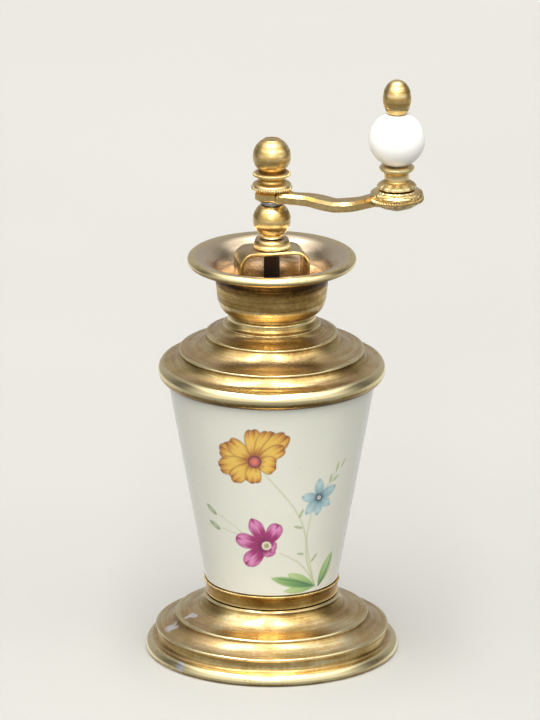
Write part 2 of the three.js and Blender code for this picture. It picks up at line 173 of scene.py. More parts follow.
def turnedMesh(name, outline, bottom, closed=True, segments=160, fillet=0.25, longest=0.8,
               centre=(0, 0), angles=None, relief=None, polished=None, paintedShade=None):
    fine = refined(softened(outline.points, closed, fillet), closed, longest)
    radius = np.array([p.x for p, _ in fine])
    height = np.array([p.y for p, _ in fine]) + bottom
    turn = np.array([t for _, t in fine])
    steps = np.hypot(np.diff(radius), np.diff(height))
    run = np.concatenate([[0], np.cumsum(steps)])
    if angles is None:
        angles = np.linspace(0, 2 * math.pi, segments, endpoint=False)
    rows, columns = len(radius), len(angles)
    r = np.repeat(radius[:, None], columns, 1)
    z = np.repeat(height[:, None], columns, 1)
    around = np.repeat(angles[None, :], rows, 0)
    if relief:
        r, z = relief(r, z, around)
    x = r * np.cos(around) + centre[0]
    y = r * np.sin(around) + centre[1]
    points = np.stack([x, y, z], -1).reshape(-1, 3) * mm
    i = np.arange(rows if closed else rows - 1)
    j = np.arange(columns)
    nextRow = ((i + 1) % rows)[:, None] * columns
    nextColumn = ((j + 1) % columns)[None, :]
    thisRow = i[:, None] * columns
    quads = np.stack([thisRow + j[None, :], thisRow + nextColumn,
                      nextRow + nextColumn, nextRow + j[None, :]], -1).reshape(-1, 4)
    mesh = bpy.data.meshes.new(name)
    mesh.from_pydata(points, [], quads.tolist())
    wear = nearCorners(run, turn, 1, wearReach)
    if polished is not None:
        wear = np.maximum(wear, polished(radius, height))
    # Grime darkens the hollow corners; painted shade is joined to these values below.
    grimeAndShade = nearCorners(run, turn, -1, grimeReach)
    # Painted shade: the given mask darkens the colour where shade falls under an overhang, and takes the
    # bright worn edges away there.
    if paintedShade is not None:
        grimeAndShade = np.maximum(grimeAndShade, paintedShade(radius, height))
        wear = wear * np.clip(1 - paintedShade(radius, height), 0, 1)
    for key, values in (("run", run), ("wear", wear), ("grimeAndShade", grimeAndShade)):
        addValues(mesh, key, np.repeat(values, columns))
    u = np.append(np.unwrap(angles), angles[0] + 2 * math.pi) / (2 * math.pi)
    v = np.append(run, run[-1] + 1)
    corners = np.stack([
        np.stack([np.broadcast_to(u[a], (len(i), columns)), np.broadcast_to(v[b], (len(i), columns))], -1)
        for a, b in ((j[None, :], i[:, None]), (j[None, :] + 1, i[:, None]),
                     (j[None, :] + 1, i[:, None] + 1), (j[None, :], i[:, None] + 1))
    ], 2)
    mesh.uv_layers.new(name="turned").data.foreach_set("uv", corners.reshape(-1).astype(np.float32))
    work = bmesh.new()
    work.from_mesh(mesh)
    if radius.min() < 1e-6:  # the poles close into one point each
        poles = [vert for vert in work.verts
                 if math.hypot(vert.co.x - centre[0] * mm, vert.co.y - centre[1] * mm) < 1e-8]
        bmesh.ops.remove_doubles(work, verts=poles, dist=1e-7)
        bmesh.ops.dissolve_degenerate(work, edges=work.edges, dist=1e-9)
    work.to_mesh(mesh)
    work.free()
    return mesh


def finished(mesh, body, material, nodes=(), sharpAngle=35):
    mesh.shade_smooth()
    mesh.set_sharp_from_angle(angle=math.radians(sharpAngle))
    piece = bpy.data.objects.new(mesh.name, mesh)
    bpy.context.scene.collection.objects.link(piece)
    mesh.materials.clear()
    mesh.materials.append(material)
    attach(piece, body)
    if nodes:
        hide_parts(*nodes)


def turnedPiece(name, node, outline, body, material, slotName, lowered=0.0, sharpAngle=35, **how):
    # Stands in for the node, with the outline's heights counted from the node's bottom
    mesh = turnedMesh(name, outline, bottomOf(node) - lowered, **how)
    finished(mesh, body, material, [node], sharpAngle)


def meshFrom(work, name):
    mesh = bpy.data.meshes.new(name)
    work.to_mesh(mesh)
    work.free()
    return mesh


# Node trees for finishes

class NodeTree:
    def __init__(self, tree):
        self.tree = tree
        tree.nodes.clear()

    def add(self, kind, inputs=None, **settings):
        node = self.tree.nodes.new(kind)
        for key, value in settings.items():
            setattr(node, key, value)
        for key, value in (inputs or {}).items():
            if isinstance(value, bpy.types.NodeSocket):
                self.tree.links.new(value, node.inputs[key])
            else:
                node.inputs[key].default_value = value
        return node

    def calculate(self, operation, a, b=0.0, clamp=False):
        node = self.add("ShaderNodeMath", {0: a, 1: b}, operation=operation)
        node.use_clamp = clamp
        return node.outputs[0]

    def times(self, a, b):
        return self.calculate("MULTIPLY", a, b)

    def plus(self, a, b, clamp=False):
        return self.calculate("ADD", a, b, clamp)

    def surface(self, inputs):
        shader = self.add("ShaderNodeBsdfPrincipled", inputs)
        self.add("ShaderNodeOutputMaterial", {0: shader.outputs[0]})
        return shader

    def tinted(self, colour, amount):
        return self.mix(1.0, colour, self.joined(amount, amount, amount), "MULTIPLY")

    def edge(self, value, place, soft, high=1.0):  # rises through the place, or falls if soft is negative
        return self.spread(value, place - soft, place + soft, 0.0, high, smooth=True)

    def spread(self, value, low, high, toLow=0.0, toHigh=1.0, smooth=False):
        kind = "SMOOTHSTEP" if smooth else "LINEAR"
        return self.add("ShaderNodeMapRange", {
            "Value": value, "From Min": low, "From Max": high, "To Min": toLow, "To Max": toHigh,
        }, interpolation_type=kind).outputs["Result"]

    def mix(self, amount, first, second, blend="MIX"):
        node = self.add("ShaderNodeMix", {0: amount, 6: first, 7: second},
                        data_type="RGBA", blend_type=blend)
        return node.outputs[2]

    def noise(self, vector, scale, detail=3.0, roughness=0.55, distortion=0.0):
        return self.add("ShaderNodeTexNoise", {
            "Vector": vector, "Scale": scale, "Detail": detail, "Roughness": roughness,
            "Distortion": distortion,
        }).outputs["Fac"]

    def value(self, name):
        return self.add("ShaderNodeAttribute", attribute_name=name).outputs["Fac"]

    def place(self):
        return self.add("ShaderNodeTexCoord").outputs["Object"]

    def parts(self, vector):
        return self.add("ShaderNodeSeparateXYZ", {0: vector}).outputs

    def joined(self, x, y, z):
        return self.add("ShaderNodeCombineXYZ", {0: x, 1: y, 2: z}).outputs[0]

    def bump(self, height, distance, strength=1.0, normal=None):
        inputs = {"Height": height, "Distance": distance, "Strength": strength}
        if normal:
            inputs["Normal"] = normal
        return self.add("ShaderNodeBump", inputs).outputs[0]


def linear(red, green, blue):  # a colour given as 0-255 display values
    def one(value):
        value /= 255
        return value / 12.92 if value <= 0.04045 else ((value + 0.055) / 1.055) ** 2.4
    return one(red), one(green), one(blue), 1.0


def newMaterial(name):
    material = bpy.data.materials.new(name)
    material.use_nodes = True
    return material, NodeTree(material.node_tree)


brassColours = {
    # darkest: tarnish, grime in hollows and painted shade
    "grimeAndShade": linear(62, 50, 34),
    "brown": linear(140, 110, 62),
    "gold": linear(211, 183, 120),
    "bright": linear(250, 238, 192),
    # laid on upward faces as dust and painted sheen
    "dustSheenTint": linear(208, 180, 162),
    "rich": linear(255, 222, 150),
    "copper": linear(226, 206, 184),
    "bare": linear(250, 248, 250),
}


brassScales = {  # how fine each pattern is, in cells a metre, and how fine the turning lines are
    "cloud": 75.0, "fine": 420.0, "speck": 1100.0, "dustAndSheen": 140.0, "dent": 320.0, "along": 55.0,
    "fineLine": 3.2, "broadLine": 0.9,
}


def brassMaterial(name, tarnish, dustSheenTint, roughness, lines=1.0, turned=True, copper=0.0, rich=0.0, spots=()):
    material, t = newMaterial(name)
    place = t.place()
    x, y, _ = t.parts(place)
    run = t.value("run")
    wear = t.value("wear")
    grimeAndShade = t.value("grimeAndShade")
    scales = brassScales
    cloud = t.noise(place, scales["cloud"], 5.0, 0.6, 0.4)
    speck = t.noise(place, scales["speck"], 3.0, 0.65)
    around = t.times(x, scales["along"])
    across = t.times(y, scales["along"])
    fineLines = t.noise(t.joined(around, across, t.times(run, scales["fineLine"])), 1.0, 3.0, 0.7)
    broadLines = t.noise(t.joined(around, across, t.times(run, scales["broadLine"])), 1.0, 2.0, 0.5)
    tone = t.spread(cloud, 0.3, 0.72, 0.62 - tarnish, 1.02 - tarnish * 0.5)
    tone = t.plus(tone, t.spread(speck, 0.25, 0.75, -0.1, 0.1))
    tone = t.plus(tone, t.spread(fineLines, 0.3, 0.7, -0.1 * lines, 0.1 * lines))
    tone = t.plus(tone, t.spread(broadLines, 0.3, 0.7, -0.12 * lines, 0.12 * lines))
    # Darker where grime lies in hollow corners and where shade is painted in.
    tone = t.calculate("SUBTRACT", tone, t.times(grimeAndShade, 0.45))
    brokenWear = t.times(wear, t.spread(speck, 0.2, 0.6, 0.45, 1.0))
    tone = t.plus(tone, t.times(brokenWear, 0.75), clamp=True)
    ramp = t.add("ShaderNodeValToRGB", {0: tone})
    ramp.color_ramp.elements[0].color = brassColours["grimeAndShade"]
    ramp.color_ramp.elements[1].color = brassColours["bright"]
    for position, key in ((0.28, "brown"), (0.68, "gold")):
        ramp.color_ramp.elements.new(position).color = brassColours[key]
    colour = t.mix(rich, ramp.outputs[0], brassColours["rich"], "MULTIPLY") if rich else ramp.outputs[0]
    normal = t.parts(t.add("ShaderNodeNewGeometry").outputs["Normal"])
    # Dust and painted sheen: faces that look upwards take the pale pinkish colour, as if lit from above,
    # broken up by noise and rubbed off where worn.
    dustAndSheen = t.spread(normal[2], 0.55, 0.95, 0.0, 1.0, smooth=True)
    dustAndSheen = t.times(dustAndSheen, t.spread(t.noise(place, scales["dustAndSheen"], 4.0), 0.35, 0.65, 0.3, 1.0))
    dustAndSheen = t.times(dustAndSheen, t.calculate("SUBTRACT", 1.0, brokenWear))
    colour = t.mix(t.times(dustAndSheen, dustSheenTint), colour, brassColours["dustSheenTint"])
    if copper:
        outward = t.plus(t.times(x, normal[0]), t.times(y, normal[1]))
        inside = t.spread(outward, 0.0, -0.006, 0.0, copper, smooth=True)
        colour = t.mix(inside, colour, brassColours["copper"])
    for degrees, radius, height, size in spots:  # worn down to pale metal
        angle = math.radians(degrees + frontAngle)
        middle = (radius * math.cos(angle) * mm, radius * math.sin(angle) * mm, height * mm)
        away = t.add("ShaderNodeVectorMath", {0: place, 1: middle}, operation="DISTANCE").outputs["Value"]
        ragged = t.plus(away, t.spread(t.noise(place, scales["fine"], 3.0), 0.2, 0.8, -0.0012, 0.0016))
        bare = t.spread(ragged, size * mm, size * 0.6 * mm, 0.0, 0.95, smooth=True)
        colour = t.mix(bare, colour, brassColours["bare"])
    gloss = t.spread(tone, 0.0, 1.0, roughness + 0.16, roughness - 0.06)
    gloss = t.plus(gloss, t.times(dustAndSheen, 0.08))
    dents = t.bump(t.noise(place, scales["dent"], 2.0), 0.00004, 0.5)
    marks = t.bump(fineLines, 0.00002, 0.35 * lines, dents) if lines else dents
    shader = t.surface({"Base Color": colour, "Metallic": 1.0, "Roughness": gloss, "Normal": marks})
    if turned:
        tangent = t.add("ShaderNodeTangent", direction_type="UV_MAP", uv_map="turned").outputs[0]
        t.tree.links.new(tangent, shader.inputs["Tangent"])
        shader.inputs["Anisotropic"].default_value = 0.25
    return material


glazeScales = {"cloud": 45.0, "speck": 900.0, "grain": 2600.0, "wave": 110.0, "polish": 300.0}


def porcelainMaterial(name, base, painted=False):
    material, t = newMaterial(name)
    place = t.place()
    cloud = t.spread(t.noise(place, glazeScales["cloud"], 3.0), 0.3, 0.7, 0.965, 1.02)
    colour = t.tinted(base, cloud)
    speck = t.spread(t.noise(place, glazeScales["speck"], 1.0, 0.3), 0.77, 0.82, 0.0, 0.35)
    colour = t.mix(speck, colour, linear(120, 112, 98))
    if painted:
        paint = t.add("ShaderNodeAttribute", attribute_name="paint")
        cover = t.value("paintCover")
        grain = t.spread(t.noise(place, glazeScales["grain"], 2.0), 0.3, 0.7, 0.93, 1.07)
        strokes = t.tinted(paint.outputs["Color"], grain)
        colour = t.mix(cover, colour, strokes)
    wave = t.bump(t.noise(place, glazeScales["wave"], 2.0), 0.00005, 0.35)
    t.surface({
        "Base Color": colour,
        "Roughness": t.spread(t.noise(place, glazeScales["polish"], 2.0), 0.3, 0.7, 0.1, 0.2),
        "Normal": wave, "IOR": 1.52, "Coat Weight": 0.35, "Coat Roughness": 0.06,
        "Subsurface Weight": 0.08, "Subsurface Scale": 0.002,
    })
    return material


def steelMaterial(name, base, roughness, stain, stainColour):
    material, t = newMaterial(name)
    place = t.place()
    cloud = t.spread(t.noise(place, 260.0, 5.0, 0.65), 0.35, 0.7, 0.0, stain)
    x, y, z = t.parts(place)
    lines = t.noise(t.joined(x, y, t.times(z, 30.0)), 180.0, 3.0)
    colour = t.mix(cloud, base, stainColour)
    gloss = t.spread(lines, 0.3, 0.7, roughness - 0.06, roughness + 0.1)
    t.surface({
        "Base Color": colour, "Metallic": 1.0, "Roughness": gloss,
        "Normal": t.bump(lines, 0.00002, 0.4),
    })
    return material


def castIronMaterial():
    material, t = newMaterial("castIron")
    place = t.place()
    grain = t.noise(place, 1400.0, 4.0, 0.7)
    rust = t.spread(t.noise(place, 210.0, 4.0), 0.52, 0.68, 0.0, 0.55)
    colour = t.mix(rust, linear(62, 60, 58), linear(96, 58, 36))
    t.surface({
        "Base Color": colour, "Metallic": 0.85, "Roughness": t.spread(grain, 0.3, 0.7, 0.45, 0.7),
        "Normal": t.bump(grain, 0.00006, 0.6),
    })
    return material


def corkMaterial():
    material, t = newMaterial("pressedCork")
    place = t.place()
    cells = t.add("ShaderNodeTexVoronoi", {"Vector": place, "Scale": 1500.0}).outputs["Distance"]
    grain = t.noise(place, 700.0, 4.0)
    colour = t.mix(t.spread(cells, 0.1, 0.6), linear(120, 82, 50), linear(178, 138, 94))
    t.surface({
        "Base Color": colour, "Roughness": t.spread(grain, 0.3, 0.7, 0.8, 0.95),
        "Normal": t.bump(cells, 0.00008, 0.7),
    })
    return material


# degrees from the front, radius, height and size in millimetres
wornSpots = [(-74.0, 29.2, 8.4, 2.6), (-70.0, 23.6, 11.6, 2.2), (-47.0, 34.6, 2.2, 2.2)]
agedBrass = brassMaterial("agedTurnedBrass", tarnish=0.17, dustSheenTint=0.4, roughness=0.22, lines=1.3, rich=0.15)
footBrass = brassMaterial("footBrass", tarnish=0.17, dustSheenTint=0.4, roughness=0.22, lines=1.3, rich=0.15,
                          spots=wornSpots)
neckBrass = brassMaterial("ferruleBrass", tarnish=0.3, dustSheenTint=0.1, roughness=0.22, rich=0.6)
bowlBrass = brassMaterial("bowlBrass", tarnish=0.3, dustSheenTint=0.3, roughness=0.25, lines=1.4, copper=0.8,
                          rich=0.25)
bushingBrass = brassMaterial("bushingBrass", tarnish=0.3, dustSheenTint=1.0, roughness=0.25)
brightBrass = brassMaterial("handledBrass", tarnish=0.07, dustSheenTint=0.15, roughness=0.3, lines=1.5, rich=0.3)
formedBrass = brassMaterial("formedBrass", tarnish=0.04, dustSheenTint=0.2, roughness=0.24, lines=0, turned=False,
                            rich=0.3)
strapBrass = brassMaterial("strapBrass", tarnish=0.24, dustSheenTint=0.6, roughness=0.24, lines=0, turned=False)
milledBrass = brassMaterial("milledBrass", tarnish=0.06, dustSheenTint=0.2, roughness=0.22, lines=0, turned=False)
paintedPorcelain = porcelainMaterial("paintedPorcelain", linear(219, 219, 206), painted=True)
whitePorcelain = porcelainMaterial("whitePorcelain", linear(244, 243, 238))
blackSteel = steelMaterial("oilBlackedSteel", linear(44, 41, 38), 0.42, 0.6, linear(70, 50, 36))
brightSteel = steelMaterial("turnedSteel", linear(168, 166, 162), 0.3, 0.35, linear(110, 96, 82))
tinnedSteel = steelMaterial("tinnedTube", linear(178, 176, 168), 0.36, 0.5, linear(120, 110, 96))
castIron = castIronMaterial()
pressedCork = corkMaterial()
print("finishes made")


# Milled rings: teeth set round a circle

def millingTree():
    tree = bpy.data.node_groups.new("teethRoundRing", "GeometryNodeTree")
    sockets = {}
    tree.interface.new_socket("Geometry", in_out="INPUT", socket_type="NodeSocketGeometry")
    tree.interface.new_socket("Geometry", in_out="OUTPUT", socket_type="NodeSocketGeometry")
    kinds = {"Ring Radius": "Float", "Height": "Float", "Teeth": "Int", "Depth": "Float",
             "Width": "Float", "Length": "Float", "Lean": "Float", "Tilt": "Float",
             "Centre": "Vector", "Unevenness": "Float", "Seed": "Int", "Finish": "Material"}
    for name, kind in kinds.items():
        socket = tree.interface.new_socket(name, in_out="INPUT", socket_type="NodeSocket" + kind)
        sockets[name] = socket.identifier
    n = NodeTree(tree)
    given = n.add("NodeGroupInput").outputs
    circle = n.add("GeometryNodeMeshCircle", {"Vertices": given["Teeth"], "Radius": given["Ring Radius"]})
    raised = n.add("GeometryNodeTransform", {
        "Geometry": circle.outputs[0], "Translation": n.joined(0.0, 0.0, given["Height"]),
    })
    ball = n.add("GeometryNodeMeshUVSphere", {"Segments": 8, "Rings": 5, "Radius": 0.5})
    tooth = n.add("GeometryNodeTransform", {
        "Geometry": ball.outputs[0],
        "Scale": n.joined(given["Depth"], given["Width"], given["Length"]),
        "Rotation": n.joined(given["Lean"], given["Tilt"], 0.0),
    })
    x, y, z = n.parts(n.add("GeometryNodeInputPosition").outputs[0])
    facing = n.joined(0.0, 0.0, n.calculate("ARCTAN2", y, x))
    uneven = n.add("FunctionNodeRandomValue", {"Seed": given["Seed"]}, data_type="FLOAT")
    uneven.inputs[2].default_value = -1.0
    uneven.inputs[3].default_value = 1.0
    size = n.times(uneven.outputs[1], given["Unevenness"])
    size = n.plus(size, 1.0)
    placed = n.add("GeometryNodeInstanceOnPoints", {
        "Points": raised.outputs[0], "Instance": tooth.outputs[0], "Rotation": facing,
        "Scale": n.joined(size, size, size),
    })
    solid = n.add("GeometryNodeRealizeInstances", {0: placed.outputs[0]})
    centred = n.add("GeometryNodeTransform", {
        "Geometry": solid.outputs[0], "Translation": given["Centre"],
    })
    smooth = n.add("GeometryNodeSetShadeSmooth", {0: centred.outputs[0]})
    coated = n.add("GeometryNodeSetMaterial", {
        "Geometry": smooth.outputs[0], "Material": given["Finish"],
    })
    n.add("NodeGroupOutput", {0: coated.outputs[0]})
    return tree, sockets


millingNodes, millingSockets = millingTree()
unevenTeeth = 0.08  # how much the teeth differ in size
millingSeed = 7


def milledRing(name, ring, body, centre=(0, 0)):
    seedMesh = bpy.data.meshes.new(name + "Start")
    holder = bpy.data.objects.new(name + "Start", seedMesh)
    bpy.context.scene.collection.objects.link(holder)
    modifier = holder.modifiers.new("milling", "NODES")
    modifier.node_group = millingNodes
    values = {
        "Ring Radius": ring["radius"] * mm, "Height": ring["height"] * mm, "Teeth": ring["teeth"],
        "Depth": ring["depth"] * mm, "Width": ring["width"] * mm, "Length": ring["length"] * mm,
        "Lean": math.radians(ring.get("lean", 0)), "Tilt": math.radians(ring.get("tilt", 0)),
        "Centre": (centre[0] * mm, centre[1] * mm, 0.0), "Unevenness": unevenTeeth,
        "Seed": millingSeed, "Finish": milledBrass,
    }
    for key, value in values.items():
        modifier[millingSockets[key]] = value
    bpy.context.view_layer.update()
    evaluated = holder.evaluated_get(bpy.context.evaluated_depsgraph_get())
    mesh = bpy.data.meshes.new_from_object(evaluated)
    mesh.name = name
    bpy.data.objects.remove(holder)
    bpy.data.meshes.remove(seedMesh)
    finished(mesh, body, milledBrass, sharpAngle=80)


# Foot: a beaded rim, a band, and two steps with ring edges

foot = {
    "rim": 35.0, "beadTop": 3.1, "band": 31.9, "bandTop": 6.3, "step": 26.55, "stepHeight": 10.55,
    "neck": 18.35, "lowered": 0.45, "bore": 9.7,
}


def footOutline():
    top = topOf("base_foot") - foot["lowered"]
    rim, band, step, neck = foot["rim"], foot["band"], foot["step"], foot["neck"]
    o = Outline(30.4, 0.0)
    o.line(rim - 0.7, 0.0)
    o.curve(rim, 0.05, rim, 0.9, 6)
    o.curve(rim, foot["beadTop"], rim - 1.8, foot["beadTop"] + 0.1, 10)
    o.curve(band + 0.1, foot["beadTop"] + 0.15, band, foot["beadTop"] + 0.9, 4)
    o.line(band, foot["bandTop"] - 0.1)
    o.ring(band + 0.1, foot["bandTop"] + 0.4)
    o.line(31.2, 7.1)
    o.curve(28.2, 7.9, step - 0.1, foot["stepHeight"] - 0.8)
    o.ring(step, foot["stepHeight"] - 0.3, 0.18, 0.8)
    o.curve(19.6, 11.6, neck + 0.1, top - 0.8, 18)
    o.ring(neck + 0.25, top - 0.45, 0.25, 0.65)
    o.line(neck, top)
    o.line(foot["bore"], top)
    o.line(foot["bore"], 12.8)
    o.line(16.4, 12.5)
    o.line(24.5, 8.8)
    return o.line(29.4, 5.0)


footMilling = {"radius": 26.6, "height": 10.15, "teeth": 300, "depth": 0.34, "width": 0.4, "length": 0.7}
turnedPiece("foot", "base_foot", footOutline(), "housing", footBrass, "aged_brass", segments=224, fillet=0.22,
            polished=lambda r, z: 0.7 * band(r, 33.0, 36.0) * band(z, 0.6, 4.0))
milledRing("footMilling", footMilling, "housing")

ferrule = {"radius": 18.3, "flare": 18.6, "edge": 18.75, "lowered": 0.35, "bore": 9.7, "seat": 17.2}


def ferruleOutline():
    height, base = heightOf("base_ferrule"), 1.4
    o = Outline(ferrule["bore"], 0.0)
    o.line(ferrule["radius"], 0.0)
    o.curve(ferrule["radius"] - 0.05, 2.0, ferrule["flare"], height - 0.6, 8)
    o.ring(ferrule["edge"] - 0.1, height - 0.3, 0.15, 0.6)
    o.line(ferrule["seat"], height)
    o.line(ferrule["seat"], base)
    return o.line(ferrule["bore"], base)


ferruleMilling = {"radius": 18.76, "height": 20.38, "teeth": 230, "depth": 0.26, "width": 0.36, "length": 0.5}
turnedPiece("ferrule", "base_ferrule", ferruleOutline(), "housing", neckBrass, "aged_brass",
            lowered=ferrule["lowered"], fillet=0.15)
milledRing("ferruleMilling", ferruleMilling, "housing")
print("foot and ferrule made")


# Shoulder: a large bead, a cove and two steps, then the neck that carries the bowl

shoulder = {"skirt": 29.1, "ring": 25.4, "step": 18.0, "neck": 12.1, "bore": 9.7}


def shoulderOutline():
    # Heights above the plane that the mill stands on
    bottom, top = bottomOf("shoulder_cover"), topOf("shoulder_cover")
    o = Outline(shoulder["skirt"], bottom)
    o.line(29.4, bottom)
    o.wave((31.35, bottom + 0.35), (32.15, bottom + 3.2), (30.5, 83.2), 24)
    o.line(30.0, 83.4)
    o.curve(26.2, 83.6, shoulder["ring"] - 0.2, 86.3, 14)
    o.ring(shoulder["ring"], 86.8, 0.2, 0.65)
    o.curve(20.4, 87.6, shoulder["step"] - 0.1, 91.1, 16)
    o.ring(shoulder["step"], 91.6, 0.16, 0.7)
    o.curve(14.6, 92.6, 13.4, 94.0, 12)
    o.ring(13.3, 94.3, 0.2, 0.6)
    o.curve(12.0, 95.0, shoulder["neck"], top - 0.35, 8)
    o.line(shoulder["neck"] - 0.3, top)
    o.line(shoulder["bore"], top)
    o.line(shoulder["bore"], 93.6)
    o.line(16.4, 89.8)
    o.line(24.0, 84.8)
    o.line(25.8, 81.4)
    o.line(29.4, 81.4)
    return o.line(29.4, 80.0)


shoulderMilling = {"radius": 18.06, "height": 91.5, "teeth": 204, "depth": 0.34, "width": 0.4, "length": 0.7}
# Painted shade darkens the underside of the shoulder's bead, down to its bottom edge.
finished(turnedMesh("shoulder", shoulderOutline(), 0.0, segments=208, fillet=0.22,
                    polished=lambda r, z: 0.8 * band(z, 80.3, 83.8) * band(r, 29.6, 33.0),
                    paintedShade=lambda r, z: 1.5 * band(z, 70.0, 80.2, 0.9) * band(r, 25.0, 31.0)),
         "housing", agedBrass, ["shoulder_cover"])
milledRing("shoulderMilling", shoulderMilling, "housing")

bowl = {"seat": 12.0, "lip": 23.3, "roll": 1.3, "rollHeight": 112.65, "floor": 98.9, "bore": 9.7}


def bowlOutline():
    # Heights above the plane that the mill stands on
    bottom = bottomOf("hopper_bowl")
    roll, rollHeight = bowl["roll"], bowl["rollHeight"]
    middle = bowl["lip"] - roll
    o = Outline(bowl["bore"], bottom)
    o.line(bowl["seat"] - 0.3, bottom)
    o.line(bowl["seat"] + 0.4, bottom + 0.1)
    o.line(bowl["seat"] + 0.45, bottom + 0.45)
    o.curve(14.7, 99.0, 15.1, 102.4, 12)
    o.line(15.5, 106.2)
    o.curve(15.9, 109.9, 19.0, 110.9, 12)
    o.arc(middle, rollHeight, roll, -75, 104, 18)
    o.curve(18.4, 113.7, 16.2, 110.8, 18)
    o.curve(14.4, 107.2, 14.0, 102.8, 16)
    o.curve(13.8, 100.2, 12.7, bowl["floor"], 8)
    return o.line(bowl["bore"], bowl["floor"])


def outsideBowl(radius, height):
    return 1.0 * (radius > 15.0 + 0.8 * np.clip(height - 108, 0, None))


# Painted shade darkens the bowl's outer wall just under its rolled lip.
finished(turnedMesh("bowl", bowlOutline(), 0.0, segments=192, fillet=0.2,
                    polished=lambda r, z: 0.9 * band(z, 111.9, 115.0, 0.8)
                    + 0.45 * band(z, 100.0, 112.5) * (1 - outsideBowl(r, z)),
                    paintedShade=lambda r, z: 1.3 * band(z, 105.5, 112.3, 2.5) * outsideBowl(r, z)),
         "housing", bowlBrass, ["hopper_bowl"])
print("shoulder and bowl made")


# Porcelain body, with the paint laid on its front as points of colour

body = {
    "foot": 18.45, "taper": 0.1786, "footHeight": 20.8, "rim": 80.0, "wall": 3.3, "bore": 9.7,
    "lip": 79.4, "floor": 24.4, "spigot": 16.9,
    # the painted front reaches this many degrees to either side, in finer steps than the back
    "frontHalf": 62.0, "frontStep": 0.5, "backStep": 3.0, "row": 0.235,
}


def bodyRadius(height):
    return body["foot"] + body["taper"] * (height - body["footHeight"])


def bodyOutline(bottom):
    seat, lip, floor, rim = body["footHeight"] + 0.1 - bottom, body["lip"], body["floor"], body["rim"]
    o = Outline(body["bore"], 0.0)
    o.line(body["spigot"], 0.0)
    o.line(body["spigot"], seat)
    o.line(body["foot"], seat)
    o.line(bodyRadius(lip), lip - bottom)
    o.line(bodyRadius(lip) - 0.6, rim - bottom)
    o.line(bodyRadius(rim) - body["wall"], rim - bottom)
    o.line(bodyRadius(floor) - body["wall"], floor - bottom)
    return o.line(body["bore"], floor - bottom)


def bodyAngles():
    half, fine, coarse = body["frontHalf"], body["frontStep"], body["backStep"]
    front = np.arange(-half, half, fine)
    back = np.arange(half, 360 - half, coarse)
    return np.radians(np.concatenate([front, back]) + frontAngle)


class Painting:
    # Colours laid over one another on the unrolled front; across and up are in millimetres
    def __init__(self, across, up):
        self.across, self.up = across, up
        self.colour = np.zeros((len(across), 3))
        self.cover = np.zeros(len(across))

    def lay(self, cover, colour):
        colour = np.broadcast_to(colour, self.colour.shape)
        kept = self.cover * (1 - cover)
        total = cover + kept
        mixed = colour * cover[:, None] + self.colour * kept[:, None]
        self.colour = np.where(total[:, None] > 1e-6, mixed / np.maximum(total, 1e-6)[:, None], colour)
        self.cover = total

    def along(self, root, tip):
        # Place along a line from root to tip (0 to 1), beside it in millimetres, and its length
        axis = np.subtract(tip, root)
        length = math.hypot(*axis)
        axis = axis / length
        fromRoot = np.stack([self.across - root[0], self.up - root[1]])
        t = (fromRoot[0] * axis[0] + fromRoot[1] * axis[1]) / length
        beside = fromRoot[1] * axis[0] - fromRoot[0] * axis[1]
        return t, beside, length

    def around(self, centre):
        dx, dy = self.across - centre[0], self.up - centre[1]
        return np.hypot(dx, dy), np.arctan2(dy, dx)


def shade(*stops):
    # Colours at places from 0 to 1: shade((0, dark), (1, light))(t)
    places = [s[0] for s in stops]
    colours = np.array([s[1][:3] for s in stops])
    return lambda t: np.stack([np.interp(t, places, colours[:, k]) for k in range(3)], -1)


def soft(distance, width=0.14):  # 1 inside, 0 outside
    t = np.clip(0.5 - distance / (2 * width), 0, 1)
    return t * t * (3 - 2 * t)


def onBody(degrees, height):  # a place on the front: degrees from its middle, and height
    return math.radians(degrees) * bodyRadius(height), height


def petal(painting, root, tip, width, colours, widest=0.62, point=0.5, ragged=0.0, lobes=2,
          streaks=0.0, streakCount=5, edge=None, edgeWidth=0.3, phase=0.0):
    t, beside, length = painting.along(root, tip)
    place = beside / width
    frill = 1 + ragged * (np.abs(np.cos(0.5 * lobes * math.pi * place + phase)) - 0.7)
    s = t / frill
    rise = np.sin(0.5 * math.pi * np.clip(s / widest, 0, 1)) ** 0.8
    fall = np.clip(1 - (np.clip(s - widest, 0, None) / (1 - widest)) ** 2, 0, 1) ** point
    half = width * rise * fall
    outside = np.where((s < 0) | (s > 1), 0.6 + 3 * np.maximum(-s, s - 1), 0)
    gap = np.abs(beside) - half
    distance = np.where(s > widest, np.maximum(gap * 0.75, (s - 1) * length), gap) + outside
    streak = 0.6 * np.cos(streakCount * math.pi * place + phase)
    streak += 0.4 * np.cos(streakCount * 2.3 * math.pi * place + 2 * phase + 1)
    colour = colours(np.clip(s + streaks * streak * np.clip(s * 1.6, 0, 1), 0, 1))
    if edge is not None:
        rim = np.clip(1 + distance / edgeWidth, 0, 1)[:, None] * 0.75
        colour = colour * (1 - rim) + np.array(edge[:3]) * rim
    painting.lay(soft(distance), colour)


def disc(painting, centre, radius, colour, opacity=1.0, width=0.14):
    distance = painting.around(centre)[0] - radius
    painting.lay(soft(distance, width) * opacity, np.array(colour[:3]))


def dots(painting, centre, radius, count, size, colour):
    for k in range(count):
        angle = 2 * math.pi * k / count
        place = (centre[0] + radius * math.cos(angle), centre[1] + radius * math.sin(angle))
        disc(painting, place, size, colour, 0.9, 0.1)


def onCurve(before, start, end, after, t):  # a smooth curve from start to end that heeds its neighbours
    return 0.5 * (2 * start + (end - before) * t + (2 * before - 5 * start + 4 * end - after) * t * t
                  + (3 * start - before - 3 * end + after) * t ** 3)


